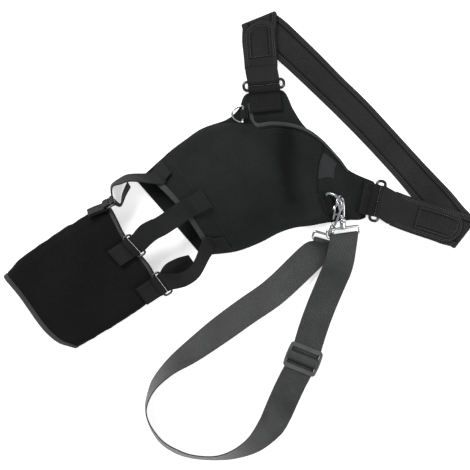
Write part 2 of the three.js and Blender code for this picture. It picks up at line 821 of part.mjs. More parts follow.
// Swivel snap hook. Its own +X runs from the strap's eye to the nose and +Z is the eye's upper side.
// Bends of the body's wire from the collar to the tip of the nose, as shares of hookLength and hookWidth.
const hookBends = table("along across", [
  [0.13, -0.16],
  [0.26, -0.22],
  [0.52, -0.25],
  [0.75, -0.23],
  [0.9, -0.08],
  [0.985, 0.16],
  [0.985, 0.44],
  [0.91, 0.65],
  [0.8, 0.72],
]);
const collarLength = 4;
const gateLength = 22.4;
const gatePivot = { along: 8.6, across: 3.6 };
const gateRest = 17;
const knuckle = 4.6;

function snapHook(name, { origin, azimuth, pitch, roll, eyeRoll }) {
  const frame = new THREE.Group();
  frame.rotation.set(0, -degToRad(pitch), degToRad(azimuth), "ZYX");
  frame.position.copy(origin);
  part.add(frame);

  const front = vec(1, 0, 0);
  const wide = vec(0, 1, 0);
  const loop = vec(-(eyeDepth - eyeWire) / 2 - barrelLength / 2, 0);
  const ring = toSolid(rectangularRing(loop, wide, front, eyeLength, eyeDepth, eyeWire));
  const barrel = toSolid(rod(barrelDiameter, -barrelLength / 2 - eyeWire / 2, barrelLength / 2));
  const bore = toSolid(rod(pinDiameter + 2 * clearance, -barrelLength / 2 + 2, barrelLength / 2 + 1));
  const eye = add(name + "_eye", fromSolid(ring.add(barrel).subtract(bore)), "nickel", frame);
  eye.rotation.x = degToRad(eyeRoll);

  const body = new THREE.Group();
  body.rotation.x = degToRad(roll);
  frame.add(body);
  const start = barrelLength / 2 + clearance;
  const bends = hookBends.map((b) => vec(start + b.along * hookLength, b.across * hookWidth));
  const curve = new THREE.CatmullRomCurve3(bends, false, "centripetal");
  const collarEnd = start + collarLength;
  let solid = toSolid(rod(pinDiameter, -barrelLength / 2 + 2 + clearance, collarEnd));
  solid = solid.add(toSolid(rod(barrelDiameter, start, collarEnd)));
  const shank = [vec(start + collarLength / 2, -0.1 * hookWidth), ...curve.getPoints(20)];
  solid = solid.add(toSolid(wire(shank, hookWire, up)));
  const pivot = vec(start + gatePivot.along, gatePivot.across);
  const arm = [vec(start + collarLength / 2, 0), pivot];
  solid = solid.add(toSolid(wire(arm, hookWire, up)));
  add(name + "_body", fromSolid(solid), "nickel", body);

  const gate = new THREE.Group();
  gate.position.copy(pivot);
  gate.rotation.z = degToRad(gateRest);
  body.add(gate);
  const lever = [vec(knuckle / 2 + hookWire / 2 + clearance, 0), vec(gateLength, 0)];
  add(name + "_gate", wire(lever, gateWire, up), "nickel", gate);

  frame.updateMatrixWorld(true);
  const axis = front.clone().transformDirection(frame.matrixWorld);
  return {
    axis,
    side: wide.clone().transformDirection(eye.matrixWorld),
    bar: vec(loop.x - (eyeDepth - eyeWire) / 2, 0).applyMatrix4(frame.matrixWorld),
    pivot: pivot.clone().applyMatrix4(body.matrixWorld),
    pivotAxis: up.clone().transformDirection(body.matrixWorld),
  };
}

// Where a hook's wire holds the ring, and how the hook lies, in degrees.
function clipped(name, { at, azimuth, pitch, roll, eyeRoll }) {
  const hold = frontRing.arc(degToRad(at));
  const inside = vec(barrelLength / 2 + hookLength * 0.62, hookWidth * 0.023);
  const turn = new THREE.Euler(0, -degToRad(pitch), degToRad(azimuth), "ZYX");
  const offset = inside.applyAxisAngle(vec(1, 0, 0), degToRad(roll)).applyEuler(turn);
  return snapHook(name, { origin: hold.sub(offset), azimuth, pitch, roll, eyeRoll });
}

const hookA = clipped("hook_a", { at: 70.4, azimuth: 62, pitch: 19.2, roll: 56, eyeRoll: 9 });
const hookB = clipped("hook_b", { at: 11.7, azimuth: 40.5, pitch: 17, roll: 57, eyeRoll: 2.6 });

// Slider: a frame with a middle bar. Its own +X runs along the strap towards the hook.
const sliderWall = 2.4;
const sliderPlace = { along: -0.467, across: -0.504, heading: 35 };
const sliderSlot = strapWidth + 4 * clearance;
const sliderWidth = sliderSlot + 2 * sliderWall;
const sliderLift = 2 * strapThickness + 3 * clearance;
const reachPoint = (along, across) =>
  vec(frontRing.bar.x + along * strapReach, frontRing.bar.y + across * strapReach);
const sliderCentre = reachPoint(sliderPlace.along, sliderPlace.across);
const sliderHeading = degToRad(sliderPlace.heading);
const sliderAlong = vec(Math.cos(sliderHeading), Math.sin(sliderHeading));
const sliderAcross = vec(-Math.sin(sliderHeading), Math.cos(sliderHeading));

function roundedShape(shape, length, width, radius, x = 0) {
  const [a, b] = [length / 2, width / 2];
  shape.moveTo(x - a + radius, -b);
  shape.lineTo(x + a - radius, -b);
  shape.absarc(x + a - radius, -b + radius, radius, -Math.PI / 2, 0);
  shape.lineTo(x + a, b - radius);
  shape.absarc(x + a - radius, b - radius, radius, 0, Math.PI / 2);
  shape.lineTo(x - a + radius, b);
  shape.absarc(x - a + radius, b - radius, radius, Math.PI / 2, Math.PI);
  shape.lineTo(x - a, -b + radius);
  shape.absarc(x - a + radius, -b + radius, radius, Math.PI, 1.5 * Math.PI);
  return shape;
}

const plate = roundedShape(new THREE.Shape(), sliderLength, sliderWidth, sliderWall * 1.4);
const slotLength = (sliderLength - 3 * sliderBar) / 2;
for (const side of [-1, 1]) {
  const middle = side * (sliderBar / 2 + slotLength / 2);
  plate.holes.push(roundedShape(new THREE.Path(), slotLength, sliderSlot, 0.6, middle));
}
const sliderGeometry = new THREE.ExtrudeGeometry(plate, {
  depth: sliderThickness,
  bevelEnabled: false,
  curveSegments: 4,
});
const slider = add("strap_slider", sliderGeometry, "plastic");
slider.position.copy(sliderCentre).setZ(sliderLift);
slider.rotation.z = sliderHeading;

// Shoulder strap: sewn round hook B's eye, laid in a loop that stands on its edge at the left,
// over the slider's middle bar, round hook A's eye and back beneath itself to the same bar.
const strapRoute = table("along across lean", [
  [-0.19, -0.148, 4],
  [-0.405, -0.187, 14],
  [-0.567, -0.193, 20],
  [-0.708, -0.2, 26],
  [-0.859, -0.209, 44],
  [-0.966, -0.214, 62],
  [-1.06, -0.236, 74],
  [-1.12, -0.272, 82],
  [-1.16, -0.315, 84],
  [-1.18, -0.379, 80],
  [-1.178, -0.46, 75],
  [-1.15, -0.528, 72],
  [-1.1, -0.592, 73],
  [-1.02, -0.652, 72],
  [-0.938, -0.685, 62],
  [-0.847, -0.696, 45],
  [-0.752, -0.676, 20],
  [-0.691, -0.645, 5],
  [-0.625, -0.602, 0],
  [-0.56, -0.562, 0],
]);
const frontLeaf = table("along across rise", [
  [-0.35, -0.412, 0],
  [-0.27, -0.352, 0.1],
  [-0.19, -0.296, 0.5],
  [-0.11, -0.238, 1.05],
]);
const layer = strapThickness + clearance;
const upperLeaf = sliderLift - clearance - strapThickness / 2;
const eyeReach = eyeWire / 2 + seat + strapThickness / 2;

function strapRow(middle, before, after, lean) {
  const travel = after.clone().sub(before).setZ(0).normalize();
  const left = vec(-travel.y, travel.x);
  const angle = degToRad(lean);
  const half = left.multiplyScalar(Math.cos(angle)).addScaledVector(up, Math.sin(angle));
  return row(middle, half.multiplyScalar(strapWidth / 2));
}

const routePoints = strapRoute.map((s) => {
  const angle = degToRad(s.lean);
  const rest = (Math.sin(angle) * strapWidth + Math.cos(angle) * strapThickness) / 2;
  return reachPoint(s.along, s.across).setZ(Math.max(rest + clearance, upperLeaf));
});
const routeRows = routePoints.map((p, i) =>
  strapRow(
    p,
    routePoints[Math.max(i - 1, 0)],
    routePoints[Math.min(i + 1, routePoints.length - 1)],
    strapRoute[i].lean,
  ),
);

const sliderRow = (x, z) =>
  row(
    plus(sliderCentre, sliderAlong, x).setZ(z),
    sliderAcross.clone().multiplyScalar(strapWidth / 2),
  );
// A layer of webbing over the middle bar, from -X to +X; count is the layer's number from the bar.
function overBar(count, ends) {
  const low = upperLeaf - (2 - count) * layer;
  const bend = clearance + strapThickness / 2 + (count - 1) * layer;
  const beside = sliderBar / 2 + bend;
  const top = sliderLift + sliderThickness;
  const rise = [
    [beside + 2 * strapThickness, low],
    [beside + strapThickness * 0.6, low + strapThickness * 0.6],
    [beside, lerp(low, top, 0.5)],
    [beside, top],
    [sliderBar / 2 + bend * Math.SQRT1_2, top + bend * Math.SQRT1_2],
    [sliderBar / 2, top + bend],
  ];
  const sides = [...rise.map(([x, z]) => [-x, z]), ...[...rise].reverse()];
  return [[-ends[0], low], ...sides, [ends[1], low]].map(([x, z]) => sliderRow(x, z));
}

const halfOf = (hook, guide) => {
  const half = hook.side.clone().multiplyScalar(strapWidth / 2);
  return half.dot(guide) < 0 ? half.negate() : half;
};
const eyeNormal = (hook) => {
  const normal = hook.side.clone().cross(hook.axis).normalize();
  return normal.z < 0 ? normal.negate() : normal;
};

// A row raised until its lower edge clears the floor.
function offFloor({ middle, half }) {
  const flat = Math.hypot(half.x, half.y) / half.length();
  const low = middle.z - Math.abs(half.z) - (flat * strapThickness) / 2;
  return row(plus(middle, up, Math.max(clearance - low, 0)), half);
}

const halfB = halfOf(hookB, routeRows[0].half);
const upB = eyeNormal(hookB);
const turnB = turnRows(hookB.bar, upB.clone().negate(), hookB.axis, eyeReach, halfB, 10);
const levelB = hookB.axis.clone().setZ(0).normalize();
const tailB = [30, 16].map((back) => {
  const p = plus(hookB.bar, levelB, -back);
  return offFloor(row(p.setZ(0), halfB.clone()));
});
const sliderPass = overBar(2, [16, 16]);
const halfA = halfOf(hookA, sliderPass.at(-1).half);
const upA = eyeNormal(hookA);
const turnA = turnRows(hookA.bar, upA, hookA.axis, eyeReach, halfA, 10);
const leafPoints = frontLeaf.map((s) =>
  reachPoint(s.along, s.across).setZ(lerp(upperLeaf, hookA.bar.z, s.rise)),
);
const leafRowsA = leafPoints.map((p, i) =>
  strapRow(
    p,
    leafPoints[i - 1] ?? sliderPass.at(-1).middle,
    leafPoints[i + 1] ?? hookA.bar,
    0,
  ),
);
const behind = (turned, hook, half) => row(plus(turned.middle, hook.axis, -eyeWire / 2), half.clone());
const above = smooth([sliderPass.at(-1), ...leafRowsA, behind(turnA[0], hookA, halfA)], 12);
const below = above.map(({ middle, half }, i) => {
  const apart = i > above.length - 3 ? [layer * 1.8, 2 * eyeReach][i - above.length + 2] : layer;
  return row(plus(middle, up, -apart), half.clone());
});
const inward = overBar(1, [16, 16]).reverse();
const routeStart = behind(turnB.at(-1), hookB, halfB);
const routeSmooth = smooth([routeStart, ...routeRows, sliderPass[0]], 60).map(offFloor);
add(
  "shoulder_strap",
  bandFaces(
    [
      ...tailB,
      offFloor(behind(turnB[0], hookB, halfB)),
      ...turnB,
      ...routeSmooth,
      ...sliderPass.slice(1, -1),
      ...above,
      ...turnA,
      ...below.reverse(),
      ...inward.slice(1),
    ],
    strapThickness,
  ),
  "webbing",
);

// The part's origin is the middle of its box on the floor.
part.updateMatrixWorld(true);
const box = new THREE.Box3().setFromObject(part, true);
const middle = box.getCenter(new THREE.Vector3());
part.children.forEach((child) => child.position.sub(vec(middle.x, middle.y, box.min.z)));

export default part;
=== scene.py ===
import math
import bpy
import bmesh
import numpy as np
from mathutils import Matrix, Vector


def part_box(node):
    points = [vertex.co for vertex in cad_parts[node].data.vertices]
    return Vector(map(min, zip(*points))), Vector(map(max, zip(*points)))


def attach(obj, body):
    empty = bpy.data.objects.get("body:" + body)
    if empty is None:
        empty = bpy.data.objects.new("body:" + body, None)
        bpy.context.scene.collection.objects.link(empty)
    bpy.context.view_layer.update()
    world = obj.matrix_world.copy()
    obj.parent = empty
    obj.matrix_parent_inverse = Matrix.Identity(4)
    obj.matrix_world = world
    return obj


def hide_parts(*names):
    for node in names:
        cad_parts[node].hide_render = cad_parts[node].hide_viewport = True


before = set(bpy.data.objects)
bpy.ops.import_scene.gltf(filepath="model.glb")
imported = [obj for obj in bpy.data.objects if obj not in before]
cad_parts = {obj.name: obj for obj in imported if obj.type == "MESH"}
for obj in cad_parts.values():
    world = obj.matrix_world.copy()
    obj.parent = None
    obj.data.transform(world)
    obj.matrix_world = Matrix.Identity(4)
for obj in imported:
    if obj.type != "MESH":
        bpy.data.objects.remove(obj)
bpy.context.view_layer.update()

mm = 0.001
up = np.array([0.0, 0.0, 1.0])
shift = np.zeros(3)  # from the laying-out measures to the frame, set once the back panel is known


# rows, curves and meshes are in millimetres until a mesh is made

def vec(x, y, z=0.0):
    return np.array([x, y, z], float)


def unit(v):
    return v / (np.linalg.norm(v, axis=-1, keepdims=True) + 1e-12)


def through(rows, share):  # smooth curve through the rows of a table
    rows = np.asarray(rows, float)
    share = np.atleast_1d(np.asarray(share, float))
    n = len(rows)
    at = np.clip(share, 0, 1) * (n - 1)
    i = np.minimum(np.floor(at).astype(int), n - 2)
    t = (at - i).reshape((-1,) + (1,) * (rows.ndim - 1))
    p0, p1, p2, p3 = (rows[np.clip(i + k, 0, n - 1)] for k in (-1, 0, 1, 2))
    a = -p0 + 3 * p1 - 3 * p2 + p3
    b = 2 * p0 - 5 * p1 + 4 * p2 - p3
    return 0.5 * (2 * p1 + (p2 - p0) * t + b * t * t + a * t ** 3)


def between(rows, share):  # straight stretches between rows
    at = min(max(share, 0), 1) * (len(rows) - 1)
    i = min(int(at), len(rows) - 2)
    return rows[i] + (rows[i + 1] - rows[i]) * (at - i)


def denser(rows, times):
    return through(rows, np.linspace(0, 1, (len(rows) - 1) * times + 1))


def smooth(rows, count):
    return through(rows, np.linspace(0, 1, count + 1))


def rotation(degrees, axis):
    return Matrix.Rotation(math.radians(degrees), 3, axis)


def turned(v, axis, degrees):
    return np.array(rotation(degrees, Vector(axis)) @ Vector(v))


def row(middle, half):  # one row across a strip: its middle, and from there to one edge
    return np.array([middle, half], float)


def halfTurn(centre, start, out, radius, half, count=8, reach=1.0):  # reach: how far a slack turn stands out
    angles = np.linspace(0, math.pi, count + 1)
    return [row(centre + start * math.cos(a) * radius + out * math.sin(a) * radius * reach, half) for a in angles]


def makeMesh(name, points, faces, uvs=None):
    mesh = bpy.data.meshes.new(name)
    mesh.from_pydata(((np.asarray(points, float) + shift) * mm).tolist(), [], faces)
    if uvs is not None:
        layer = mesh.uv_layers.new(name="UVMap")
        corner = np.empty(len(mesh.loops), dtype=np.int32)
        mesh.loops.foreach_get("vertex_index", corner)
        layer.data.foreach_set("uv", (np.asarray(uvs, float)[corner] * mm).ravel())
    bm = bmesh.new()
    bm.from_mesh(mesh)
    bmesh.ops.recalc_face_normals(bm, faces=bm.faces)
    bm.to_mesh(mesh)
    bm.free()
    mesh.polygons.foreach_set("use_smooth", [True] * len(mesh.polygons))
    obj = bpy.data.objects.new(name, mesh)
    bpy.context.scene.collection.objects.link(obj)
    return obj


def shell(name, top, bottom, uv, roundRows=False):  # closed wall between two grids of points
    n, m = top.shape[:2]

    def at(layer, i, j):
        return layer * n * m + (i % n) * m + j

    faces = []
    for i in range(n if roundRows else n - 1):
        for j in range(m - 1):
            faces.append((at(0, i, j), at(0, i + 1, j), at(0, i + 1, j + 1), at(0, i, j + 1)))
            faces.append((at(1, i, j), at(1, i, j + 1), at(1, i + 1, j + 1), at(1, i + 1, j)))
        faces.append((at(0, i, 0), at(1, i, 0), at(1, i + 1, 0), at(0, i + 1, 0)))
        faces.append((at(0, i, m - 1), at(0, i + 1, m - 1), at(1, i + 1, m - 1), at(1, i, m - 1)))
    if not roundRows:
        for j in range(m - 1):
            faces.append((at(0, 0, j), at(0, 0, j + 1), at(1, 0, j + 1), at(1, 0, j)))
            faces.append((at(0, n - 1, j), at(1, n - 1, j), at(1, n - 1, j + 1), at(0, n - 1, j + 1)))
    points = np.concatenate([top.reshape(-1, 3), bottom.reshape(-1, 3)])
    uvs = np.concatenate([uv.reshape(-1, 2), uv.reshape(-1, 2)])
    return makeMesh(name, points, faces, uvs)


def rimDrop(distance, thickness, radius):  # how far each face draws in near an edge, for a rounded rim
    x = np.clip(1 - np.asarray(distance, float) / radius, 0, 1)
    return thickness / 2 * 0.86 * (1 - np.sqrt(1 - x * x))


def paintGrooveShade(obj, depth):  # how deep each point lies in a groove, for the finish to darken it there with painted shade
    values = np.concatenate([depth.ravel(), depth.ravel()])
    obj.data.attributes.new("groove", "FLOAT", "POINT").data.foreach_set("value", values)


def travelled(points):
    return np.concatenate([[0], np.cumsum(np.linalg.norm(np.diff(points, axis=0), axis=1))])


def normalsOf(rows):
    ahead = np.concatenate([rows[1:, 0], rows[-1:, 0]])
    back = np.concatenate([rows[:1, 0], rows[:-1, 0]])
    return unit(np.cross(ahead - back, rows[:, 1]))


def strip(name, rows, thickness, rim, shape=None, marks=(), inside=8):  # padded or woven strip along rows
    rows = np.asarray(rows, float)
    normals = normalsOf(rows)
    halfWidth = np.linalg.norm(rows[:, 1], axis=1)
    width = 2 * np.median(halfWidth)
    half = width / 2
    near = [-1 + k * rim / half for k in (0, 0.1, 0.3, 0.65, 1.05)]
    places = near + [-k for k in near] + list(np.linspace(-1 + 2 * rim / half, 1 - 2 * rim / half, inside))
    for mark in marks:
        places += [s * (1 - (mark + k * 0.6) / half) for k in (-1, -0.45, 0, 0.45, 1) for s in (-1, 1)]
    across = np.unique(np.round(np.clip(places, -1, 1), 5))
    distance = travelled(rows[:, 0])
    side = (1 - np.abs(across))[None, :] * half
    ends = np.minimum(distance, distance[-1] - distance)[:, None]
    drop = np.maximum(rimDrop(side, thickness, rim), rimDrop(ends + 0.02, thickness, rim * 0.6))
    extra = shape(side, distance[:, None], across[None, :]) if shape else np.zeros_like(drop)
    middle = rows[:, None, 0] + rows[:, None, 1] * across[None, :, None]
    top = middle + normals[:, None] * (thickness / 2 - drop + extra)[..., None]
    bottom = middle + normals[:, None] * (drop - thickness / 2)[..., None]
    uv = np.stack(np.broadcast_arrays(across[None, :] * half, distance[:, None]), -1)
    piece = shell(name, top, bottom, uv)
    if marks:  # pressed lines at those distances from both edges, darkened there with painted shade
        paintGrooveShade(piece, np.max([np.exp(-((side - mark) / 0.7) ** 2) for mark in marks], axis=0) + 0 * distance[:, None])
    return piece


def ringFaces(n, sides, loop=False):  # faces between n rings of points, closed at both ends unless they make a loop
    faces = []
    for i in range(n if loop else n - 1):
        for k in range(sides):
            a, b = i * sides + k, i * sides + (k + 1) % sides
            c, d = ((i + 1) % n) * sides + (k + 1) % sides, ((i + 1) % n) * sides + k
            faces.append((a, b, c, d))
    if not loop:
        faces += [tuple(range(sides)), tuple((n - 1) * sides + k for k in range(sides))]
    return faces


def tube(points, diameter, normal, loop=False, sides=18):  # points and faces of a wire bent about a normal
    points = np.asarray(points, float)
    tangent = unit(np.roll(points, -1, 0) - np.roll(points, 1, 0) if loop else np.gradient(points, axis=0))
    across = unit(np.cross(normal, tangent))
    rise = unit(np.cross(tangent, across))
    radius = np.full(len(points), diameter / 2.0)
    if not loop:  # rounded ends
        rounding = np.array([0.25, 0.62, 0.87])
        radius[:3] *= rounding
        radius[-3:] *= rounding[::-1]
    angles = np.arange(sides) * 2 * math.pi / sides
    rings = points[:, None] + radius[:, None, None] * (
        across[:, None] * np.cos(angles)[None, :, None] + rise[:, None] * np.sin(angles)[None, :, None])
    return rings.reshape(-1, 3), ringFaces(len(points), sides, loop)


def lathe(profile, sides=28):  # profile of (x, radius) turned about the X axis, closed at both ends
    angles = np.arange(sides) * 2 * math.pi / sides
    rings = np.array([[(x, r * math.cos(a), r * math.sin(a)) for a in angles] for x, r in profile])
    return rings.reshape(-1, 3), ringFaces(len(profile), sides)


def joined(name, shapes):  # several closed shapes as one piece
    points, faces = [], []
    for p, f in shapes:
        start = len(points)
        points.extend(np.asarray(p).tolist())
        faces.extend(tuple(start + i for i in face) for face in f)
    return makeMesh(name, points, faces)


def roundedLoop(centre, a, b, length, depth, radius, corner=8):
    points = []
    for i, (sx, sy) in enumerate(((1, 1), (-1, 1), (-1, -1), (1, -1))):
        for turn in np.linspace(0, math.pi / 2, corner + 1):
            angle = turn + i * math.pi / 2
            points.append(centre + a * (sx * (length / 2 - radius) + math.cos(angle) * radius)
                          + b * (sy * (depth / 2 - radius) + math.sin(angle) * radius))
    return np.array(points)


def rectangularRing(centre, a, b, length, depth, size):
    path = roundedLoop(centre, a, b, length - size, depth - size, size * 1.1)
    return tube(path, size, unit(np.cross(a, b)), loop=True)


# cap: two neoprene panels seamed along both sides

cap = dict(length=246, width=166, rise=44, lift=16, sleeveGap=63, middle=3, neoprene=3, gap=0.3, seat=0.5,
           rim=1.6, seamDepth=0.9, seamHalf=1.3, slack=0.2, pull=0.25, grow=0.02, reach=2.2,
           ringPlace=(0.629, 0.818),  # of the front D-ring, as shares along and across the panel
           creases=[  # depth, half width, and the line on the plan
               (5.0, 8.5, [(243, 20), (232, 2), (222, -17), (212, -38), (205, -56)]),
               (1.1, 4, [(205, -30), (214, -38), (226, -40)]),
               (1.0, 6, [(128, 70), (150, 40), (160, 8)])])
capFront = np.array([  # alongTop acrossTop alongBottom acrossBottom rise lift bow
    [0, 0.428, 0.057, -0.331, 0.56, 0, 0.033],
    [0.138, 0.488, 0.171, -0.428, 0.8, 0, 0.012],
    [0.268, 0.506, 0.309, -0.476, 0.96, 0, 0],
    [0.398, 0.506, 0.427, -0.494, 1, 0, 0],
    [0.516, 0.434, 0.516, -0.53, 0.92, 0, 0],
    [0.593, 0.349, 0.581, -0.578, 0.74, 0, 0],
    [0.642, 0.304, 0.638, -0.614, 0.5, 0.15, 0],
    [0.711, 0.259, 0.687, -0.639, 0.3, 0.55, 0],
    [0.785, 0.169, 0.724, -0.669, 0.28, 0.9, 0],
    [0.837, 0.066, 0.756, -0.693, 0.3, 1, 0],
    [0.87, -0.066, 0.785, -0.717, 0.28, 0.85, 0],
    [0.894, -0.235, 0.809, -0.741, 0.16, 0.4, 0],
    [0.919, -0.392, 0.829, -0.753, 0, 0, 0],
    [1, -0.584, 0.878, -0.723, 0, 0, 0]])
capBack = np.array([  # alongTop acrossTop alongBottom acrossBottom
    [-0.061, 0.452, 0.012, -0.319], [0.138, 0.5, 0.171, -0.44], [0.268, 0.518, 0.309, -0.488],
    [0.398, 0.518, 0.427, -0.506], [0.52, 0.476, 0.516, -0.542], [0.606, 0.494, 0.581, -0.59],
    [0.679, 0.56, 0.63, -0.62], [0.768, 0.494, 0.671, -0.645], [0.858, 0.422, 0.703, -0.669],
    [0.85, 0.259, 0.736, -0.693], [0.85, 0.114, 0.76, -0.711], [0.874, -0.066, 0.785, -0.729],
    [0.898, -0.247, 0.809, -0.753], [0.927, -0.404, 0.833, -0.771], [1, -0.572, 0.858, -0.777]])


def capPlan(s, v):  # plan places from rows of a table and shares across
    bow = s[:, 6] * np.sin(np.pi * v) if s.shape[1] > 6 else 0
    x = cap["sleeveGap"] + cap["length"] * (s[:, 0] + (s[:, 2] - s[:, 0]) * v + bow)
    y = cap["middle"] + cap["width"] * (s[:, 1] + (s[:, 3] - s[:, 1]) * v)
    return np.stack([x, y, np.zeros_like(x)], -1)


def pairs(u, v):  # places (u, v) as two flat lists
    u, v = np.broadcast_arrays(np.atleast_1d(np.asarray(u, float)), np.asarray(v, float))
    return u.ravel(), v.ravel()


def frontInner(u, v):  # inner face of the front panel
    u, v = pairs(u, v)
    s = through(capFront, u)
    p = capPlan(s, v)
    arch = np.sin(np.pi * np.clip(v, 0, 1)) ** 0.8
    p[:, 2] = cap["neoprene"] + cap["gap"] + cap["rise"] * np.maximum(s[:, 4], 0) * arch
    p[:, 2] += cap["lift"] * np.maximum(s[:, 5], 0) * (1 - v) ** 2
    return p


def frontFrame(u, v):  # directions along, across and out of the panel
    e = 0.012
    u, v = pairs(u, v)
    du = unit(frontInner(np.minimum(u + e, 1), v) - frontInner(np.maximum(u - e, 0), v))
    dv = unit(frontInner(u, np.minimum(v + e, 1)) - frontInner(u, np.maximum(v - e, 0)))
    normal = unit(np.cross(dv, du))
    normal[normal[:, 2] < 0] *= -1
    return du, dv, normal


def onFront(u, v, height=0.0):  # on its outer face or above it
    return frontInner(u, v) + frontFrame(u, v)[2] * (cap["neoprene"] + height)


def frontGrid(u, v):  # places on the outer face and normals, in the shape of the grid of shares
    shape = u.shape + (3,)
    return onFront(u, v).reshape(shape), frontFrame(u, v)[2].reshape(shape)


backSteps = 29
backEdges = capPlan(through(capBack, np.linspace(0, 1, backSteps)).repeat(2, 0), np.tile([0.0, 1.0], backSteps))
shift[:] = np.array(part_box("cap_back_panel")[0]) / mm - backEdges.min(0)
shift[2] = 0
print("shift from the laying-out measures, mm:", np.round(shift, 3))


def wave(points, scale, seed):  # slow even unevenness of cloth, the same on every run
    rng = np.random.default_rng(seed)
    total = np.zeros(points.shape[:-1])
    for _ in range(7):
        direction = unit(rng.normal(size=3) * [1, 1, 0.6])
        total += np.sin(points @ direction * (2 * math.pi / (scale * rng.uniform(0.7, 1.6))) + rng.uniform(0, 6.28))
    return total / 7 * 1.6


clothSettings = dict(quality=8, mass=0.2, tension_stiffness=18, compression_stiffness=18, shear_stiffness=8,
                     bending_stiffness=1.5, vertex_group_mass="hold", pin_stiffness=1.0)


def settled(name, grid, hold, piece, frames=18, roundRows=False):  # cloth simulated on a coarse copy of a piece
    n, m = grid.shape[:2]
    faces = [(i * m + j, (i + 1) % n * m + j, (i + 1) % n * m + j + 1, i * m + j + 1)
             for i in range(n if roundRows else n - 1) for j in range(m - 1)]
    coarse = makeMesh(name, grid.reshape(-1, 3), faces)
    group = coarse.vertex_groups.new(name="hold")
    for i, weight in enumerate(hold.ravel()):
        group.add([i], float(weight), "REPLACE")
    cloth = coarse.modifiers.new("cloth", "CLOTH")
    for key, value in clothSettings.items():
        setattr(cloth.settings, key, value)
    cloth.settings.shrink_min = -piece["grow"]
    cloth.settings.effector_weights.gravity = piece["pull"]
    cloth.point_cache.frame_start = 1
    cloth.point_cache.frame_end = frames
    scene = bpy.context.scene
    for frameNumber in range(1, frames + 1):
        scene.frame_set(frameNumber)
    flat = coarse.evaluated_get(bpy.context.evaluated_depsgraph_get()).to_mesh()
    at = np.empty(len(flat.vertices) * 3)
    flat.vertices.foreach_get("co", at)
    change = at.reshape(n, m, 3) / mm - shift - grid
    bpy.data.objects.remove(coarse)
    scene.frame_set(1)
    if roundRows:
        normal = unit(np.cross(np.roll(grid, -1, 0) - np.roll(grid, 1, 0), np.gradient(grid, axis=1)))
    else:
        normal = unit(np.cross(np.gradient(grid, axis=0), np.gradient(grid, axis=1)))
    normal *= np.where(normal[n // 4, m // 2, 2] < 0, -1, 1)
    out = (change * normal).sum(-1)
    print("  ", name, "settled by up to", round(float(np.abs(out).max()), 2), "mm")
    return piece["reach"] * np.tanh(out / piece["reach"])


def fromGrid(values, a, b, roundRows=False):  # value between the places of a coarse grid, on a smooth surface
    n, m = values.shape
    x = (a % 1) * n if roundRows else np.clip(a, 0, 1) * (n - 1)
    y = np.clip(b, 0, 1) * (m - 1)
    total = 0
    i, j = np.floor(x).astype(int), np.floor(y).astype(int)

    def weights(t):
        return [w / 6 for w in ((1 - t) ** 3, 3 * t ** 3 - 6 * t ** 2 + 4, -3 * t ** 3 + 3 * t ** 2 + 3 * t + 1, t ** 3)]

    for k, wx in enumerate(weights(x - i)):
        for l, wy in enumerate(weights(y - j)):
            line = (i + k - 1) % n if roundRows else np.clip(i + k - 1, 0, n - 1)
            total = total + wx * wy * values[line, np.clip(j + l - 1, 0, m - 1)]
    return total


def rimPlaces(count, rimShare):  # shares from 0 to 1, close together at both ends
    near = rimShare * np.array([0, 0.1, 0.3, 0.6, 1])
    return np.concatenate([near, np.linspace(rimShare, 1 - rimShare, count)[1:-1], (1 - near)[::-1]])


def nearLine(p, line):  # plan distance from points to a line of points
    best = np.full(p.shape[:-1], 1e9)
    for a, b in zip(line[:-1], line[1:]):
        ab = b[:2] - a[:2]
        t = np.clip(((p[..., :2] - a[:2]) @ ab) / (ab @ ab), 0, 1)
        best = np.minimum(best, np.linalg.norm(p[..., :2] - a[:2] - t[..., None] * ab, axis=-1))
    return best


# sewn lines on the front panel, as shares (u, v) along and across it
capSeams = dict(
    neck=[(0.455, 0.055), (0.55, 0.06), (0.66, 0.06), (0.78, 0.065), (0.88, 0.08)],
    sleeve=[(0.085, 0.03), (0.083, 0.3), (0.083, 0.6), (0.085, 0.97)])
wingCorners = [(273, -25), (281, -46), (266, -60), (247, -50)]  # on the plan, from the seam's upper end
wingSeam = [(276, -17), (252, -43), (243, -55), (238, -66)]  # on the plan, the patch's first corner comes second


def linePlaces(line, count=60):
    uv = smooth(np.array(line, float), count)
    return uv[:, 0], uv[:, 1]


def capHold(u, v):  # 1 where the panel is sewn down or carries something
    edge = np.clip(1 - np.minimum(np.minimum(u * 12, (1 - u) * 10), np.minimum(v * 9, (1 - v) * 9)), 0, 1)
    ringU, ringV = cap["ringPlace"]
    ring = np.clip(1.6 - np.hypot((u - ringU) / 0.07, (v - ringV) / 0.12), 0, 1)
    return np.clip(np.maximum(edge, ring), 0, 1)


coarseU, coarseV = np.meshgrid(np.linspace(0, 1, 64), np.linspace(0, 1, 42), indexing="ij")
coarseCap = frontGrid(coarseU, coarseV)[0]
capSettled = settled("capCoarse", coarseCap, capHold(coarseU, coarseV), cap)


def placeUnder(x, y):  # place (u, v) on the front panel that lies at a point of the plan
    near = np.hypot(coarseCap[..., 0] - x, coarseCap[..., 1] - y)
    i, j = np.unravel_index(near.argmin(), near.shape)
    place = np.array([coarseU[i, j], coarseV[i, j]])
    step = 0.004
    for _ in range(8):
        here = onFront(*place)[0]
        across = [(onFront(*(place + s))[0] - here)[:2] / step for s in ((step, 0), (0, step))]
        place = np.clip(place + np.linalg.solve(np.stack(across, 1), np.array([x, y]) - here[:2]), 0.005, 0.985)
    return tuple(place)


def creaseAt(base, line, half):  # 1 along a line of the plan, fading out to both sides
    return np.exp(-(nearLine(base, smooth(np.array(line, float), 24)) / half) ** 2)


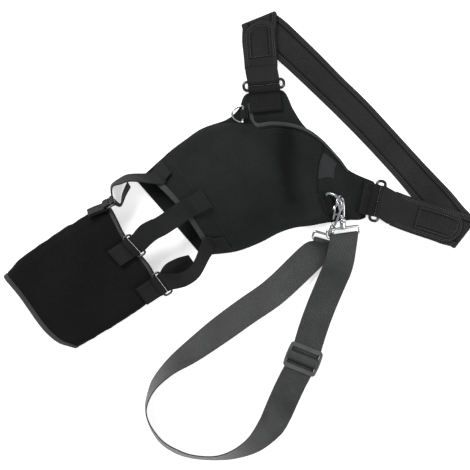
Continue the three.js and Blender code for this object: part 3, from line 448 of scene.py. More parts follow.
def capSlack(u, v, base):  # unevenness of the panel, which what is sewn on it follows
    fade = np.clip(np.minimum(v, 1 - v) * 14, 0, 1) * np.clip(np.minimum(u, 1 - u) * 20, 0, 1)
    slack = (fromGrid(capSettled, u, v) + cap["slack"] * wave(base, 24, 5)) * fade
    for depth, half, line in cap["creases"]:
        slack = slack - depth * creaseAt(base, line, half) * fade
    return slack


wingPlaces = [placeUnder(*corner) for corner in wingCorners]
wingLine = [placeUnder(*place) for place in wingSeam]
capSeams["wing"] = [wingLine[0], wingPlaces[0], *wingLine[1:]]
uvSize = (170, 246)  # mm that the cap's own UV map spans, across and along


def buildCapFront():
    us = rimPlaces(190, cap["rim"] / 240)
    vs = rimPlaces(120, cap["rim"] / uvSize[0])
    uu, vv = np.meshgrid(us, vs, indexing="ij")
    base, normal = frontGrid(uu, vv)
    widths = np.linalg.norm(np.diff(base, axis=1), axis=2).sum(1)[:, None]
    lengths = np.linalg.norm(np.diff(base, axis=0), axis=2).sum(0)[None, :]
    distance = np.minimum(np.minimum(vv, 1 - vv) * widths, np.minimum(uu, 1 - uu) * lengths)
    drop = rimDrop(distance, cap["neoprene"], cap["rim"])
    press = np.zeros(uu.shape)
    for name in ("neck", "wing"):
        line = onFront(*linePlaces(capSeams[name]))
        press += cap["seamDepth"] * np.exp(-(nearLine(base, line) / cap["seamHalf"]) ** 2)
    slack = capSlack(uu, vv, base)
    top = base + normal * (slack - drop - press)[..., None]
    bottom = base + normal * (slack * 0.6 - cap["neoprene"] + drop)[..., None]
    top[..., 2] = np.maximum(top[..., 2], cap["neoprene"] + cap["gap"] + 0.5)
    bottom[..., 2] = np.maximum(bottom[..., 2], cap["neoprene"] + 0.1)
    panel = shell("capFront", top, bottom, np.stack([vv * uvSize[0], uu * uvSize[1]], -1))
    _, half, line = cap["creases"][0]
    # painted shade: the finish darkens the crease valley and the pressed seams
    valleyShade = creaseAt(base, line, half * 1.7)
    paintGrooveShade(panel, np.clip(0.7 * valleyShade + 0.6 * press / cap["seamDepth"], 0, 1))
    return panel


def buildCapBack():
    us = rimPlaces(150, 0.006)
    vs = rimPlaces(60, 0.01)
    uu, vv = np.meshgrid(us, vs, indexing="ij")
    s = through(capBack, uu.ravel())
    base = capPlan(s, vv.ravel()).reshape(uu.shape + (3,))
    distance = np.minimum(np.minimum(vv, 1 - vv) * uvSize[0], np.minimum(uu, 1 - uu) * uvSize[1])
    drop = rimDrop(distance, cap["neoprene"], cap["rim"])
    top = base + up * (cap["neoprene"] - drop)[..., None]
    bottom = base + up * drop[..., None]
    return shell("capBack", top, bottom, np.stack([vv * uvSize[0], uu * uvSize[1]], -1))


tape = dict(thickness=1.2, hem=7, neck=5.5, lug=5, rim=0.5, height=0.2, root=0.15)  # root: how far it is sewn in


def onFrontSheet(name, us, vRange, countAcross=14):  # thin crowned tape sewn on the front panel
    shares = rimPlaces(countAcross, 0.14)
    vv = np.array([vRange(u)[0] + (vRange(u)[1] - vRange(u)[0]) * shares for u in us])
    uu = np.repeat(np.asarray(us)[:, None], len(shares), 1)
    base, normal = frontGrid(uu, vv)
    across = np.stack([travelled(r) for r in base])
    along = np.stack([travelled(c) for c in base.transpose(1, 0, 2)]).T
    near = np.minimum(np.minimum(across, across[:, -1:] - across), np.minimum(along, along[-1:] - along))
    drop = rimDrop(near + 0.02, tape["thickness"], tape["rim"])
    slack = capSlack(uu, vv, base)
    top = base + normal * (slack + tape["height"] + tape["thickness"] - drop)[..., None]
    bottom = base + normal * (slack + tape["height"] - tape["root"] + drop * 0.3)[..., None]
    return shell(name, top, bottom, np.stack([across, along], -1))


# tabs, rings and belt

sizes = dict(ringLength=57, ringDepth=15, ringWire=4, ringTab=42, topTab=30, wingTab=16, tab=1.8,
             beltTab=42, beltTabLength=80, patch=29, patchThick=1.2, clear=0.3,
             ringSlack=1.42, beltTabEnd=0.71, tabEnd=17.5, patchEnd=12, patchSeam=3.4, ringTabThick=1.5, webRim=0.6)


def tabRows(place, side, out, normal, size, width, length, thickness, gap, under=lambda back: 0.0, slack=1.0):
    half = side * (width / 2)
    reach = size / 2 + sizes["clear"] + thickness / 2
    bar = place + normal * (gap + thickness / 2 + reach)

    def at(share, height):
        back = share * length
        return row(bar - out * back + normal * (height - reach + under(back)), half)

    upper = thickness + sizes["clear"]
    rows = [at(s, 0) for s in (1, 0.66, 0.33)]
    rows += halfTurn(bar, -normal, out, reach, half, 8, slack)
    rows.append(at(1.2 * reach / length, 2 * reach + (upper - 2 * reach) * 0.3))
    rows += [at(s, upper) for s in np.linspace(2 * reach / length, 1, 3)]
    return bar, np.array(rows)


def capRing(start, end, layers, length):  # ring and tab on an edge of the cap, over one or two layers
    side = unit(end - start)
    out = -np.cross(side, up)
    place = (start + end) / 2
    place[2] = layers * cap["neoprene"] + (layers - 1) * cap["gap"]
    place = place + out * (sizes["ringWire"] / 2 + sizes["clear"] + sizes["tab"])
    bar, rows = tabRows(place, side, out, up, sizes["ringWire"], sizes["ringTab"], length, sizes["tab"],
                        2 * cap["seat"] if layers > 1 else cap["gap"], slack=sizes["ringSlack"])
    far = sizes["ringDepth"] - sizes["ringWire"]
    return dict(side=side, out=out, centre=bar + out * far / 2, far=bar + out * far, rows=rows)


def backPoint(share, v):
    return capPlan(through(capBack, share), np.array([v]))[0]


topRing = capRing(backPoint(6 / 14, 0), backPoint(8 / 14, 0), 1, sizes["topTab"])
wingRing = capRing(backPoint(1, 0), backPoint(1, 1), 2, sizes["wingTab"])

belt = dict(width=46, thickness=5, reach=200, binding=8.3, bindingLift=0.35, groove=0.5, rim=1.7, threads=(2.6, 5.9),
            quilts=((0.22, 31, 1.3), (0.16, 13, -2.1)))  # depth of a slow wave, its length and how it slants
beltLeaves = np.array([  # follow along across turn wide level
    [0, 0.045, 0.1, -29, 0.944, 0.5], [0, 0.085, 0.17, -26, 0.96, 0.9],
    [0, 0.145, 0.28, -19, 1, 1], [0, 0.205, 0.365, -11, 1.06, 1]])
beltBow = np.array([
    [0, 0.205, 0.365, -11, 1.06, 0], [0, 0.235, 0.27, 6, 0.98, 0], [0, 0.26, 0.177, 14, 0.962, 0],
    [0.15, 0.282, 0.114, 7, 0.941, 0], [0.35, 0.284, 0.124, 3, 0.914, 0], [0.5, 0.301, 0.069, -3, 0.936, 0],
    [0.65, 0.318, -0.034, -7, 0.919, 0], [0.85, 0.323, -0.107, -8, 0.926, 0], [1, 0.33, -0.21, 1, 0.979, 0],
    [1, 0.344, -0.35, 10, 1, 0], [1, 0.362, -0.475, 19, 1.06, 0]])
beltWing = np.array([
    [1, 0.362, -0.475, 19, 1.06, 1], [1, 0.303, -0.405, 30, 1.04, 1], [1, 0.253, -0.34, 38, 1.02, 1],
    [1, 0.135, -0.198, 42, 0.988, 1], [1, 0.06, -0.095, 45, 0.984, 1]])
leafStep = belt["thickness"] + 2 * sizes["clear"]


def beltRow(s):  # one row of a belt table
    base = topRing["centre"] + (wingRing["centre"] - topRing["centre"]) * s[0]
    height = belt["thickness"] / 2 + s[5] * leafStep
    middle = vec(base[0] + s[1] * belt["reach"], base[1] + s[2] * belt["reach"], height)
    angle = math.radians(s[3])
    return row(middle, vec(math.cos(angle), math.sin(angle)) * s[4] * belt["width"] / 2)


def beltFold(start, end, out):
    centre = (start[0] + end[0]) / 2
    radius = np.linalg.norm(start[0] - centre)
    return halfTurn(centre, unit(start[0] - centre), out, radius, start[1])[1:-1]


def outwards(half, side):
    return unit(np.cross(half, up)) * side


leafRows, bowRows, wingRows = (smooth(np.array([beltRow(s) for s in table]), count)
                               for table, count in ((beltLeaves, 9), (beltBow, 30), (beltWing, 12)))
beltRows = np.array([*leafRows, *beltFold(leafRows[-1], bowRows[0], outwards(leafRows[-1][1], -1)), *bowRows,
                     *beltFold(bowRows[-1], wingRows[0], outwards(wingRows[0][1], 1)), *wingRows])


def beltShape(side, distance, across):  # raised edge binding, with the line where it ends pressed in
    lift = belt["bindingLift"] / (1 + np.exp((side - belt["binding"]) * 4))
    line = belt["groove"] * np.exp(-((side - belt["binding"]) / 0.55) ** 2)
    quilt = sum(depth * np.sin(distance / length + across * slant) for depth, length, slant in belt["quilts"])
    return lift - line + quilt * np.clip(side / 8, 0, 1)


def beltTabRows(ring, leaf):  # rows of the tab and its patch, and of the flat part of each
    reach = sizes["ringWire"] / 2 + sizes["clear"] + sizes["tab"] / 2
    out = -ring["out"]
    half = ring["side"] * sizes["beltTab"] / 2
    drop = belt["thickness"] / 2 + sizes["clear"] + sizes["tab"] / 2

    def turnedHalf(p):
        return unit(p[1]) * (sizes["beltTab"] / 2) * (-1 if p[1] @ half < 0 else 1)

    first = between(leaf, 0)
    under = []
    for share in (0.12, 0.02, -0.04):
        m = first[0] + ring["out"] * sizes["beltTabLength"] * share
        m[2] = first[0][2] - drop
        under.append(row(m, turnedHalf(first)))
    over = [row(p[0] + up * drop, turnedHalf(p))
            for p in (between(leaf, share) for share in np.linspace(0.02, sizes["beltTabEnd"], 11))]
    ahead = unit(over[-1][0] - over[-2][0])

    def roundEnd(last, reach):
        return [row(last[0] + ahead * s * reach, last[1] * math.sqrt(1 - s * s))
                for s in (0.2, 0.4, 0.58, 0.74, 0.86, 0.94, 0.985)]

    turn = halfTurn(ring["far"], -up, out, reach, half, reach=sizes["ringSlack"])
    rows = [*under, *turn, *over, *roundEnd(over[-1], sizes["tabEnd"])]
    height = sizes["tab"] / 2 + sizes["clear"] + sizes["patchThick"] / 2
    patch = [row(p[0] + up * height, p[1] * sizes["patch"] / sizes["beltTab"]) for p in over[4:]]
    patchRows = [*patch, *roundEnd(patch[-1], sizes["patchEnd"])]
    return [np.array(part) for part in (rows, patchRows, over, patch)]


# arm cuff: a flattened neoprene tube

cuff = dict(length=160, width=139, height=27, lowerTape=6.5, upperTape=4.5, rim=1.5,
            slack=0.25, pull=0.3, grow=0.015, reach=1.8)
cuffFolds = np.array([  # near and far fold, from the lower end to the upper
    [-0.45, 0.49], [-0.46, 0.53], [-0.463, 0.545], [-0.463, 0.552], [-0.463, 0.55], [-0.46, 0.54], [-0.455, 0.5]])
cuffEnds = np.array([  # lower and upper end, from the near fold to the far
    [0.14, 0.006], [0.06, 0.003], [0.022, 0.012], [0.008, 0],
    [0.004, -0.02], [0, -0.02], [-0.012, -0.006], [-0.03, 0.006]])


def onCuff(t, w, height):  # a share along the tube and one round it, at a height over its face
    folds = through(cuffFolds, t)[0]
    near, far = folds[0] * cuff["width"], folds[1] * cuff["width"]
    radius = cuff["height"] / 2
    flat = far - near - 2 * radius
    length = 2 * flat + 2 * math.pi * radius
    s = ((w % 1) * length + math.pi * radius / 2) % length
    r = radius + height
    if s < math.pi * radius:
        y, z = far - radius + r * math.sin(s / radius), radius - r * math.cos(s / radius)
    elif s < math.pi * radius + flat:
        y, z = far - radius - (s - math.pi * radius), radius + r
    elif s < 2 * math.pi * radius + flat:
        angle = (s - math.pi * radius - flat) / radius
        y, z = near + radius - r * math.sin(angle), radius + r * math.cos(angle)
    else:
        y, z = near + radius + (s - 2 * math.pi * radius - flat), radius - r
    ends = through(cuffEnds, min(max((y - near) / (far - near), 0), 1))[0]
    lower, upper = cuff["length"] * (ends[0] - 1), cuff["length"] * ends[1]
    return vec(lower + (upper - lower) * t, y, z)


def cuffGrid(ts, ws, height=0):
    return np.array([[onCuff(t, w, height) for t in ts] for w in ws])


coarseT = np.linspace(0, 1, 30)
coarseCuff = cuffGrid(coarseT, np.arange(84) / 84)
cuffHold = np.maximum(np.clip(1 - np.minimum(coarseT, np.linspace(1, 0, 30)) * 8, 0, 1)[None, :],
                      (coarseCuff[..., 2] < cuff["height"] * 0.45) * 1.0)  # its ends and its lower half
cuffSettled = settled("cuffCoarse", coarseCuff, cuffHold, cuff, roundRows=True)


def cuffShell(name, start, end, lengthCount, slack, proud=0.0):
    around = np.arange(150) / 150
    total = (end - start) * cuff["length"]
    rim = cuff["rim"] / total
    ts = rimPlaces(lengthCount, min(rim, 0.3))
    grid = cuffGrid(start + (end - start) * ts, around)
    normal = grid - cuffGrid(start + (end - start) * ts, around, -1)
    drop = rimDrop(np.minimum(ts, 1 - ts) * total, cap["neoprene"], cuff["rim"])[None, :]
    lift = slack * wave(grid, 22, 12)
    if slack:
        lift = lift + fromGrid(cuffSettled, around[:, None] + 0 * ts, 0 * around[:, None] + ts, True)
    lift = lift * np.clip(grid[..., 2] / 9, 0, 1) * np.clip(np.minimum(ts, 1 - ts) * total / 10, 0, 1)[None, :]
    top = grid + normal * (lift - drop + proud)[..., None]
    bottom = grid + normal * (lift * 0.5 - cap["neoprene"] + drop)[..., None]
    if proud:
        top[..., 2] = np.maximum(top[..., 2], 0)
    girth = 2 * cuff["width"]
    along = ts[None, :] * total + start * cuff["length"]
    return shell(name, top, bottom, np.stack(np.broadcast_arrays(around[:, None] * girth, along), -1), roundRows=True)


# arm straps, their tabs and loops

arm = dict(width=26, thickness=1.8, loopLength=35, loopDepth=14, loopWire=2.8, tab=26, slack=1.75,
           around=(0.018, 0.235, 0.437))  # where the loops sit round the cuff
upperShare = cuff["upperTape"] / cuff["length"]
armLoops = []
for w in arm["around"]:
    t = 1 - upperShare / 2
    place = onCuff(t, w, 0)
    side = unit(onCuff(t, w + 0.01, 0) - onCuff(t, w - 0.01, 0))
    out = vec(1, 0)
    normal = unit(-np.cross(out, side))
    if normal @ (onCuff(t, w, 1) - place) < 0:
        normal = -normal

    def under(back):
        return (onCuff(t - back / cuff["length"], w, 0) - place) @ normal

    bar, rows = tabRows(place, side, out, normal, arm["loopWire"], arm["width"], arm["tab"], arm["thickness"],
                        cap["seat"], under, arm["slack"])
    far = out * (arm["loopDepth"] - arm["loopWire"])
    armLoops.append(dict(side=side, out=out, normal=normal, rows=rows, centre=bar + far / 2, far=bar + far))


def alongside(half, guide):  # the same direction or its opposite, whichever goes with the guide
    return -half if half @ guide < 0 else half


def armStrapRows(number, seated, outer, inner, towards):
    loop = armLoops[number - 1]
    size = arm["width"] / 2
    reach = arm["loopWire"] / 2 + sizes["clear"] + arm["thickness"] / 2
    height = 3 * cap["seat"] + tape["thickness"] + arm["thickness"] / 2

    def free(alongGap, across, rise, heading, lean):
        angle, turn = math.radians(lean), math.radians(heading)
        half = vec(math.cos(turn), math.sin(turn)) * math.cos(angle) * size
        half[2] = math.sin(angle) * size * towards
        return row(vec(alongGap * cap["sleeveGap"], across * cuff["width"], rise * arm["width"]), half)

    start = [row(onFront(u, v, height)[0], frontFrame(u, v)[1][0] * size) for u, v in seated]
    half = alongside(loop["side"] * size, start[-1][1])
    turn = halfTurn(loop["far"], loop["normal"], -loop["out"], reach, half, reach=arm["slack"])
    first = smooth(np.array([*start, *[free(*s) for s in outer], turn[0]]), 22)
    second = smooth(np.array([turn[-1], *[free(*s) for s in inner]]), 12)
    return np.array([*first, *turn[1:-1], *second])


armStraps = {  # seated rows as shares on the cap, then free rows: along the gap, across, up, heading, lean
    1: dict(seated=[(0.062, 0.1), (0.042, 0.1), (0.02, 0.1)],
            outer=[(0.7, 0.612, 0.6, -90, 62), (0.46, 0.64, 0.58, -90, 70), (0.27, 0.64, 0.56, -80, 78)],
            inner=[(0.22, 0.45, 0.56, -80, 80), (0.4, 0.515, 0.56, -60, 74), (0.6, 0.57, 0.58, -85, 68)], towards=1),
    2: dict(seated=[(0.105, 0.5), (0.06, 0.5), (0.015, 0.5)],
            outer=[(0.75, 0.07, 1.35, -90, 0), (0.45, 0.08, 1.3, -90, 0)],
            inner=[(0.35, 0.09, 1.15, -90, 0), (0.62, 0.08, 1.17, -90, 0)], towards=1),
    3: dict(seated=[(0.078, 0.9), (0.05, 0.9), (0.02, 0.9)],
            outer=[(0.8, -0.45, 0.82, -90, 48), (0.5, -0.46, 0.98, -90, 44), (0.3, -0.42, 1.16, -90, 28)],
            inner=[(0.34, -0.33, 0.86, -90, 30), (0.6, -0.33, 0.62, -90, 40), (0.84, -0.36, 0.5, -90, 44)],
            towards=-1)}


# D-rings and swivel hooks

dRings = dict(
    front=dict(u=cap["ringPlace"][0], v=cap["ringPlace"][1], spin=-2,
               length=34, depth=20, wire=3.4, tilt=34, tabWidth=24, tabLength=10),
    top=dict(u=0.36, v=0.054, heading=55, length=24, depth=17, wire=2.8, tilt=-5, tabWidth=12, tabLength=6.5))


def dRing(d, place, side, normal):  # bent wire and its tab on a place of the cap
    out = unit(np.cross(normal, side))
    bar, rows = tabRows(place, side, out, normal, d["wire"], d["tabWidth"], d["tabLength"], sizes["tab"], cap["seat"])
    lean = math.radians(d["tilt"])
    rise = out * math.cos(lean) + normal * math.sin(lean)

    half, depth = (d["length"] - d["wire"]) / 2, d["depth"] - d["wire"]

    def arc(angle):
        return bar + side * math.cos(angle) * half + rise * math.sin(angle) * depth

    bend = [arc(a) for a in np.linspace(0, math.pi, 34)]
    straight = [bend[-1] + (bend[0] - bend[-1]) * s for s in np.linspace(0, 1, 10)[1:-1]]
    wire = tube(bend + straight, d["wire"], unit(np.cross(side, rise)), loop=True)
    return dict(bar=bar, arc=arc, rows=rows, wire=wire)


seat = dRings["front"]
place = onFront(seat["u"], seat["v"], sizes["clear"])[0]
across, normal = (k[0] for k in frontFrame(seat["u"], seat["v"])[1:])
frontRing = dRing(seat, place, turned(across, normal, seat["spin"]), normal)
seat = dRings["top"]
place = backPoint(seat["u"], seat["v"])
place[2] = cap["neoprene"]
heading = math.radians(seat["heading"])
smallRing = dRing(seat, place, vec(math.cos(heading), math.sin(heading)), up)

hook = dict(length=35, width=19, wire=3.5, gateWire=2.4, eyeLength=47, eyeDepth=14, eyeWire=3.4, barrel=8,
            barrelLength=9, collar=4, gateLength=22.4, pivot=(8.6, 3.6), gateRest=17, knuckle=4.6)
hookBends = [(0.13, -0.16), (0.26, -0.22), (0.52, -0.25), (0.75, -0.23), (0.9, -0.08), (0.985, 0.16), (0.985, 0.44),
             (0.91, 0.65), (0.8, 0.72)]
hooks = dict(a=dict(at=70.4, azimuth=62, pitch=19.2, roll=56, eyeRoll=9),  # at: degrees round the front D-ring's bow
             b=dict(at=11.7, azimuth=40.5, pitch=17, roll=57, eyeRoll=2.6))


def placedHook(h):  # frames of the eye and the body
    lie = rotation(h["azimuth"], "Z") @ rotation(-h["pitch"], "Y")
    roll = rotation(h["roll"], "X")
    inside = Vector((hook["barrelLength"] / 2 + hook["length"] * 0.62, hook["width"] * 0.023, 0))
    origin = np.array(Vector(frontRing["arc"](math.radians(h["at"]))) - lie @ (roll @ inside))
    eye = np.array(lie @ rotation(h["eyeRoll"], "X"))
    axis = np.array(lie)[:, 0]
    bar = origin - axis * (hook["eyeDepth"] - hook["eyeWire"] + hook["barrelLength"] / 2)
    return dict(origin=origin, eye=eye, body=np.array(lie @ roll), axis=axis, side=eye[:, 1], bar=bar)


def moved(shape, turn, origin):
    points, faces = shape
    return np.asarray(points) @ turn.T + origin, faces


hookPlaces = {k: placedHook(h) for k, h in hooks.items()}


def buildHook(key):
    h, g = hook, hookPlaces[key]
    front, wide = vec(1, 0), vec(0, 1)
    half = h["barrelLength"] / 2
    start = half + 0.3
    loop = vec(-(h["eyeDepth"] - h["eyeWire"]) / 2 - half, 0)
    r = h["barrel"] / 2
    cup = lathe([(-half - 1.7, 0.6 * r), (-half - 1.2, 0.86 * r), (-half - 0.2, 0.97 * r), (-half + 0.7, r),
                 (half - 0.9, r), (half - 0.3, 0.93 * r), (half, 0.84 * r)])
    collar = lathe([(start, 0.84 * r), (start + 0.3, 0.95 * r), (start + 0.8, r), (start + h["collar"] - 1.1, r),
                    (start + h["collar"] - 0.3, 0.86 * r), (start + h["collar"], 0.6 * r)])
    path = smooth(np.array([vec(start + x * h["length"], y * h["width"]) for x, y in hookBends]), 48)
    path = np.concatenate([[vec(start + h["collar"] / 2, -0.1 * h["width"])], path])
    pivot = vec(start + h["pivot"][0], h["pivot"][1])
    foot = vec(start + h["collar"] / 2, 0)
    shank = [foot + (pivot - foot) * s for s in np.linspace(0, 1, 9)]
    head = h["wire"] / 2
    pin = lathe([(-head - 0.35, 0.9), (-head - 0.1, 1.15), (head + 0.1, 1.15), (head + 0.35, 0.9)], 16)
    upright = np.array([[0, 0, -1.0], [0, 1, 0], [1, 0, 0]])
    lever = [vec(x, 0) for x in np.linspace(h["knuckle"] / 2 + head + 0.3, h["gateLength"], 14)]
    gateTurn = g["body"] @ np.array(rotation(h["gateRest"], "Z"))
    ring = rectangularRing(loop, wide, front, h["eyeLength"], h["eyeDepth"], h["eyeWire"])
    metal = (tube(path, h["wire"], up), collar, tube(shank, h["wire"], up), moved(pin, upright, pivot))
    return [joined("hook" + key.upper() + name, [moved(shape, turn, place) for shape in shapes])
            for name, shapes, turn, place in (
                ("Eye", (ring, cup), g["eye"], g["origin"]), ("Body", metal, g["body"], g["origin"]),
                ("Gate", (tube(lever, h["gateWire"], up),), gateTurn, g["origin"] + g["body"] @ pivot))]


# shoulder strap and its slider

strap = dict(width=38, thickness=1.6, reach=300)
slider = dict(length=35, thickness=3.5, bar=6, wall=2.4, corner=4.2, bow=1.3, soft=0.55,
              along=-0.467, across=-0.504, heading=35)
strapRoute = np.array([  # along across lean
    [-0.19, -0.148, 4], [-0.405, -0.187, 14], [-0.567, -0.193, 20], [-0.708, -0.2, 26], [-0.859, -0.209, 44],
    [-0.966, -0.214, 62], [-1.06, -0.236, 74], [-1.12, -0.272, 82], [-1.16, -0.315, 84], [-1.18, -0.379, 80],
    [-1.178, -0.46, 75], [-1.15, -0.528, 72], [-1.1, -0.592, 73], [-1.02, -0.652, 72], [-0.938, -0.685, 62],
    [-0.847, -0.696, 45], [-0.752, -0.676, 20], [-0.691, -0.645, 5], [-0.625, -0.602, 0], [-0.56, -0.562, 0]])
frontLeaf = np.array([[-0.35, -0.412, 0], [-0.27, -0.352, 0.1], [-0.19, -0.296, 0.5], [-0.11, -0.238, 1.05]])
clear = sizes["clear"]
sliderLift = 2 * strap["thickness"] + 3 * clear
layer = strap["thickness"] + clear
upperLeaf = sliderLift - clear - strap["thickness"] / 2
eyeReach = hook["eyeWire"] / 2 + cap["seat"] + strap["thickness"] / 2


def reachPoint(a, b, z=0.0):
    return vec(frontRing["bar"][0] + a * strap["reach"], frontRing["bar"][1] + b * strap["reach"], z)


sliderCentre = reachPoint(slider["along"], slider["across"])
turn = math.radians(slider["heading"])
sliderAlong, sliderAcross = vec(math.cos(turn), math.sin(turn)), vec(-math.sin(turn), math.cos(turn))


def strapRow(middle, before, after, lean):  # a row of the strap between two places, leaning up from the floor
    travel = after - before
    travel[2] = 0
    travel = unit(travel)
    angle = math.radians(lean)
    half = vec(-travel[1], travel[0]) * math.cos(angle) + up * math.sin(angle)
    return row(middle, half * strap["width"] / 2)


def overBar(count, reach=16):  # over the slider's bar, as the first or the second layer on it
    low = upperLeaf - (2 - count) * layer
    bend = clear + strap["thickness"] / 2 + (count - 1) * layer
    t = strap["thickness"]
    beside = slider["bar"] / 2 + bend
    top = sliderLift + slider["thickness"]
    rise = [(beside + 2 * t, low), (beside + t * 0.6, low + t * 0.6), (beside, (low + top) / 2), (beside, top),
            (slider["bar"] / 2 + bend * math.sqrt(0.5), top + bend * math.sqrt(0.5)), (slider["bar"] / 2, top + bend)]
    places = [(-reach, low)] + [(-x, z) for x, z in rise] + rise[::-1] + [(reach, low)]
    return [row(sliderCentre + sliderAlong * x + up * z, sliderAcross * strap["width"] / 2) for x, z in places]


def offFloor(r):  # the row, lifted where the strap would lie below the floor
    half = r[1]
    flat = math.hypot(half[0], half[1]) / np.linalg.norm(half)
    low = r[0][2] - abs(half[2]) - flat * strap["thickness"] / 2
    return row(r[0] + up * max(clear - low, 0), half)


def behind(r, place, half):  # a row a little back from the turn round a hook's eye
    return row(r[0] - place["axis"] * hook["eyeWire"] / 2, half)


def eyeNormal(place):
    n = unit(np.cross(place["side"], place["axis"]))
    return -n if n[2] < 0 else n


def strapRows():
    points = []
    for a, b, lean in strapRoute:
        angle = math.radians(lean)
        rest = (math.sin(angle) * strap["width"] + math.cos(angle) * strap["thickness"]) / 2
        points.append(reachPoint(a, b, max(rest + clear, upperLeaf)))
    around = [points[0], *points, points[-1]]
    route = [strapRow(p, around[i], around[i + 2], strapRoute[i][2]) for i, p in enumerate(points)]
    a, b = hookPlaces["a"], hookPlaces["b"]
    halfB = alongside(b["side"] * strap["width"] / 2, route[0][1])
    turnB = halfTurn(b["bar"], -eyeNormal(b), b["axis"], eyeReach, halfB, 10)
    level = unit(b["axis"] * [1, 1, 0])
    tail = [offFloor(row((b["bar"] - level * back) * [1, 1, 0], halfB)) for back in (30, 16)]
    sliderPass = overBar(2)
    halfA = alongside(a["side"] * strap["width"] / 2, sliderPass[-1][1])
    turnA = halfTurn(a["bar"], eyeNormal(a), a["axis"], eyeReach, halfA, 10)
    leaf = [reachPoint(x, y, upperLeaf + (a["bar"][2] - upperLeaf) * rise) for x, y, rise in frontLeaf]
    around = [sliderPass[-1][0], *leaf, a["bar"]]
    leaf = [strapRow(p, around[i], around[i + 2], 0) for i, p in enumerate(leaf)]
    above = smooth(np.array([sliderPass[-1], *leaf, behind(turnA[0], a, halfA)]), 12)
    apart = [layer] * (len(above) - 2) + [layer * 1.8, 2 * eyeReach]
    below = [row(r[0] - up * d, r[1]) for r, d in zip(above, apart)]
    inward = overBar(1)[::-1]
    route = [offFloor(r) for r in smooth(np.array([behind(turnB[-1], b, halfB), *route, sliderPass[0]]), 60)]
    return np.array([*tail, offFloor(behind(turnB[0], b, halfB)), *turnB, *route, *sliderPass[1:-1], *above, *turnA,
                     *below[::-1], *inward[1:]])


# making the pieces

pieces = {}  # CAD node -> its detailed piece


def keep(node, obj, body="brace"):  # notes the piece and says where its box departs from the solid's
    pieces[node] = (obj, body)
    lo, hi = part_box(node)
    at = np.array([v.co for v in obj.data.vertices])
    off = np.maximum(np.abs(at.min(0) - np.array(lo)), np.abs(at.max(0) - np.array(hi))) / mm
    if off.max() > 3:
        print("  ", node, "differs from its solid's box by", np.round(off, 1), "mm")
    return obj


keep("cap_front_panel", buildCapFront())
keep("cap_back_panel", buildCapBack())
hemShare = tape["hem"] / np.linalg.norm(np.diff(frontInner(np.linspace(0, 1, 21), 0.5), axis=0), axis=1).sum()
hemPlaces = 0.001 + (hemShare - 0.001) * rimPlaces(8, 0.12)
keep("cap_sleeve_hem", onFrontSheet("capSleeveHem", hemPlaces, lambda u: (0.02, 0.98), 110))
neckEnds = (11 / 24, 22 / 24)  # shares along the panel


def neckShare(u):  # share across the panel that the neck binding covers
    return tape["neck"] / float(np.linalg.norm(frontInner(u, 0)[0] - frontInner(u, 1)[0]))


keep("cap_neck_binding", onFrontSheet("capNeckBinding", np.linspace(*neckEnds, 90), lambda u: (0.004, neckShare(u))))


def buildWingPatch(size=22):  # four-cornered patch between its corners on the panel
    shares = rimPlaces(26, 0.02)
    a, b = np.meshgrid(shares, shares, indexing="ij")
    weights = np.stack([(1 - a) * (1 - b), a * (1 - b), a * b, (1 - a) * b], -1)
    places = weights @ np.array(wingPlaces)
    u, v = places[..., 0], places[..., 1]
    base, normal = frontGrid(u, v)
    near = np.minimum(np.minimum(a, 1 - a), np.minimum(b, 1 - b)) * size
    thickness = tape["thickness"] / 2
    drop = rimDrop(near + 0.02, thickness, 0.4)
    slack = capSlack(u, v, base) + tape["height"]
    return shell("wingPatch", base + normal * (slack + thickness - drop)[..., None],
                 base + normal * (slack - tape["root"] + drop * 0.3)[..., None], np.stack([a * size, b * size], -1))


keep("wing_patch", buildWingPatch())
print("cap made")


def keepWeb(node, name, rows, thickness, times=4):  # a strip of webbing
    return keep(node, strip(name, denser(rows, times), thickness, sizes["webRim"]))


def keepRing(node, name, ring, *measures):
    return keep(node, joined(name, [rectangularRing(ring["centre"], ring["side"], ring["out"], *measures)]))


for node, name, ring in (("top_ring", "topRing", topRing), ("wing_ring", "wingRing", wingRing)):
    keepWeb(node + "_tab", name + "Tab", ring["rows"], sizes["tab"])
    keepRing(node, name, ring, sizes["ringLength"], sizes["ringDepth"], sizes["ringWire"])
for node, name, ring in (("d_ring_front", "dRingFront", frontRing), ("d_ring_top", "dRingTop", smallRing)):
    keepWeb(node + "_tab", name + "Tab", ring["rows"], sizes["ringTabThick"])
    keep(node, joined(name, [ring["wire"]]))

keep("chest_belt", strip("chestBelt", denser(beltRows, 5), belt["thickness"], belt["rim"], beltShape,
                         marks=(belt["binding"],), inside=16))


def patchShape(side, distance, across):  # pressed in along the seam
    return -0.4 * np.exp(-((side - sizes["patchSeam"]) / 0.6) ** 2)


beltSewn = []  # middle rows of each belt tab and its patch
for node, name, ring, leaf in (("top", "Top", topRing, leafRows), ("wing", "Wing", wingRing, wingRows[::-1])):
    rows, patchRows, *middles = beltTabRows(ring, leaf)
    beltSewn.append(middles)
    keepWeb("belt_tab_" + node, "beltTab" + name, rows, sizes["tab"])
    keep("belt_patch_" + node, strip("beltPatch" + name, denser(patchRows, 5), sizes["patchThick"], 0.45, patchShape,
                                     marks=(sizes["patchSeam"],)))
print("rings, tabs and belt made")

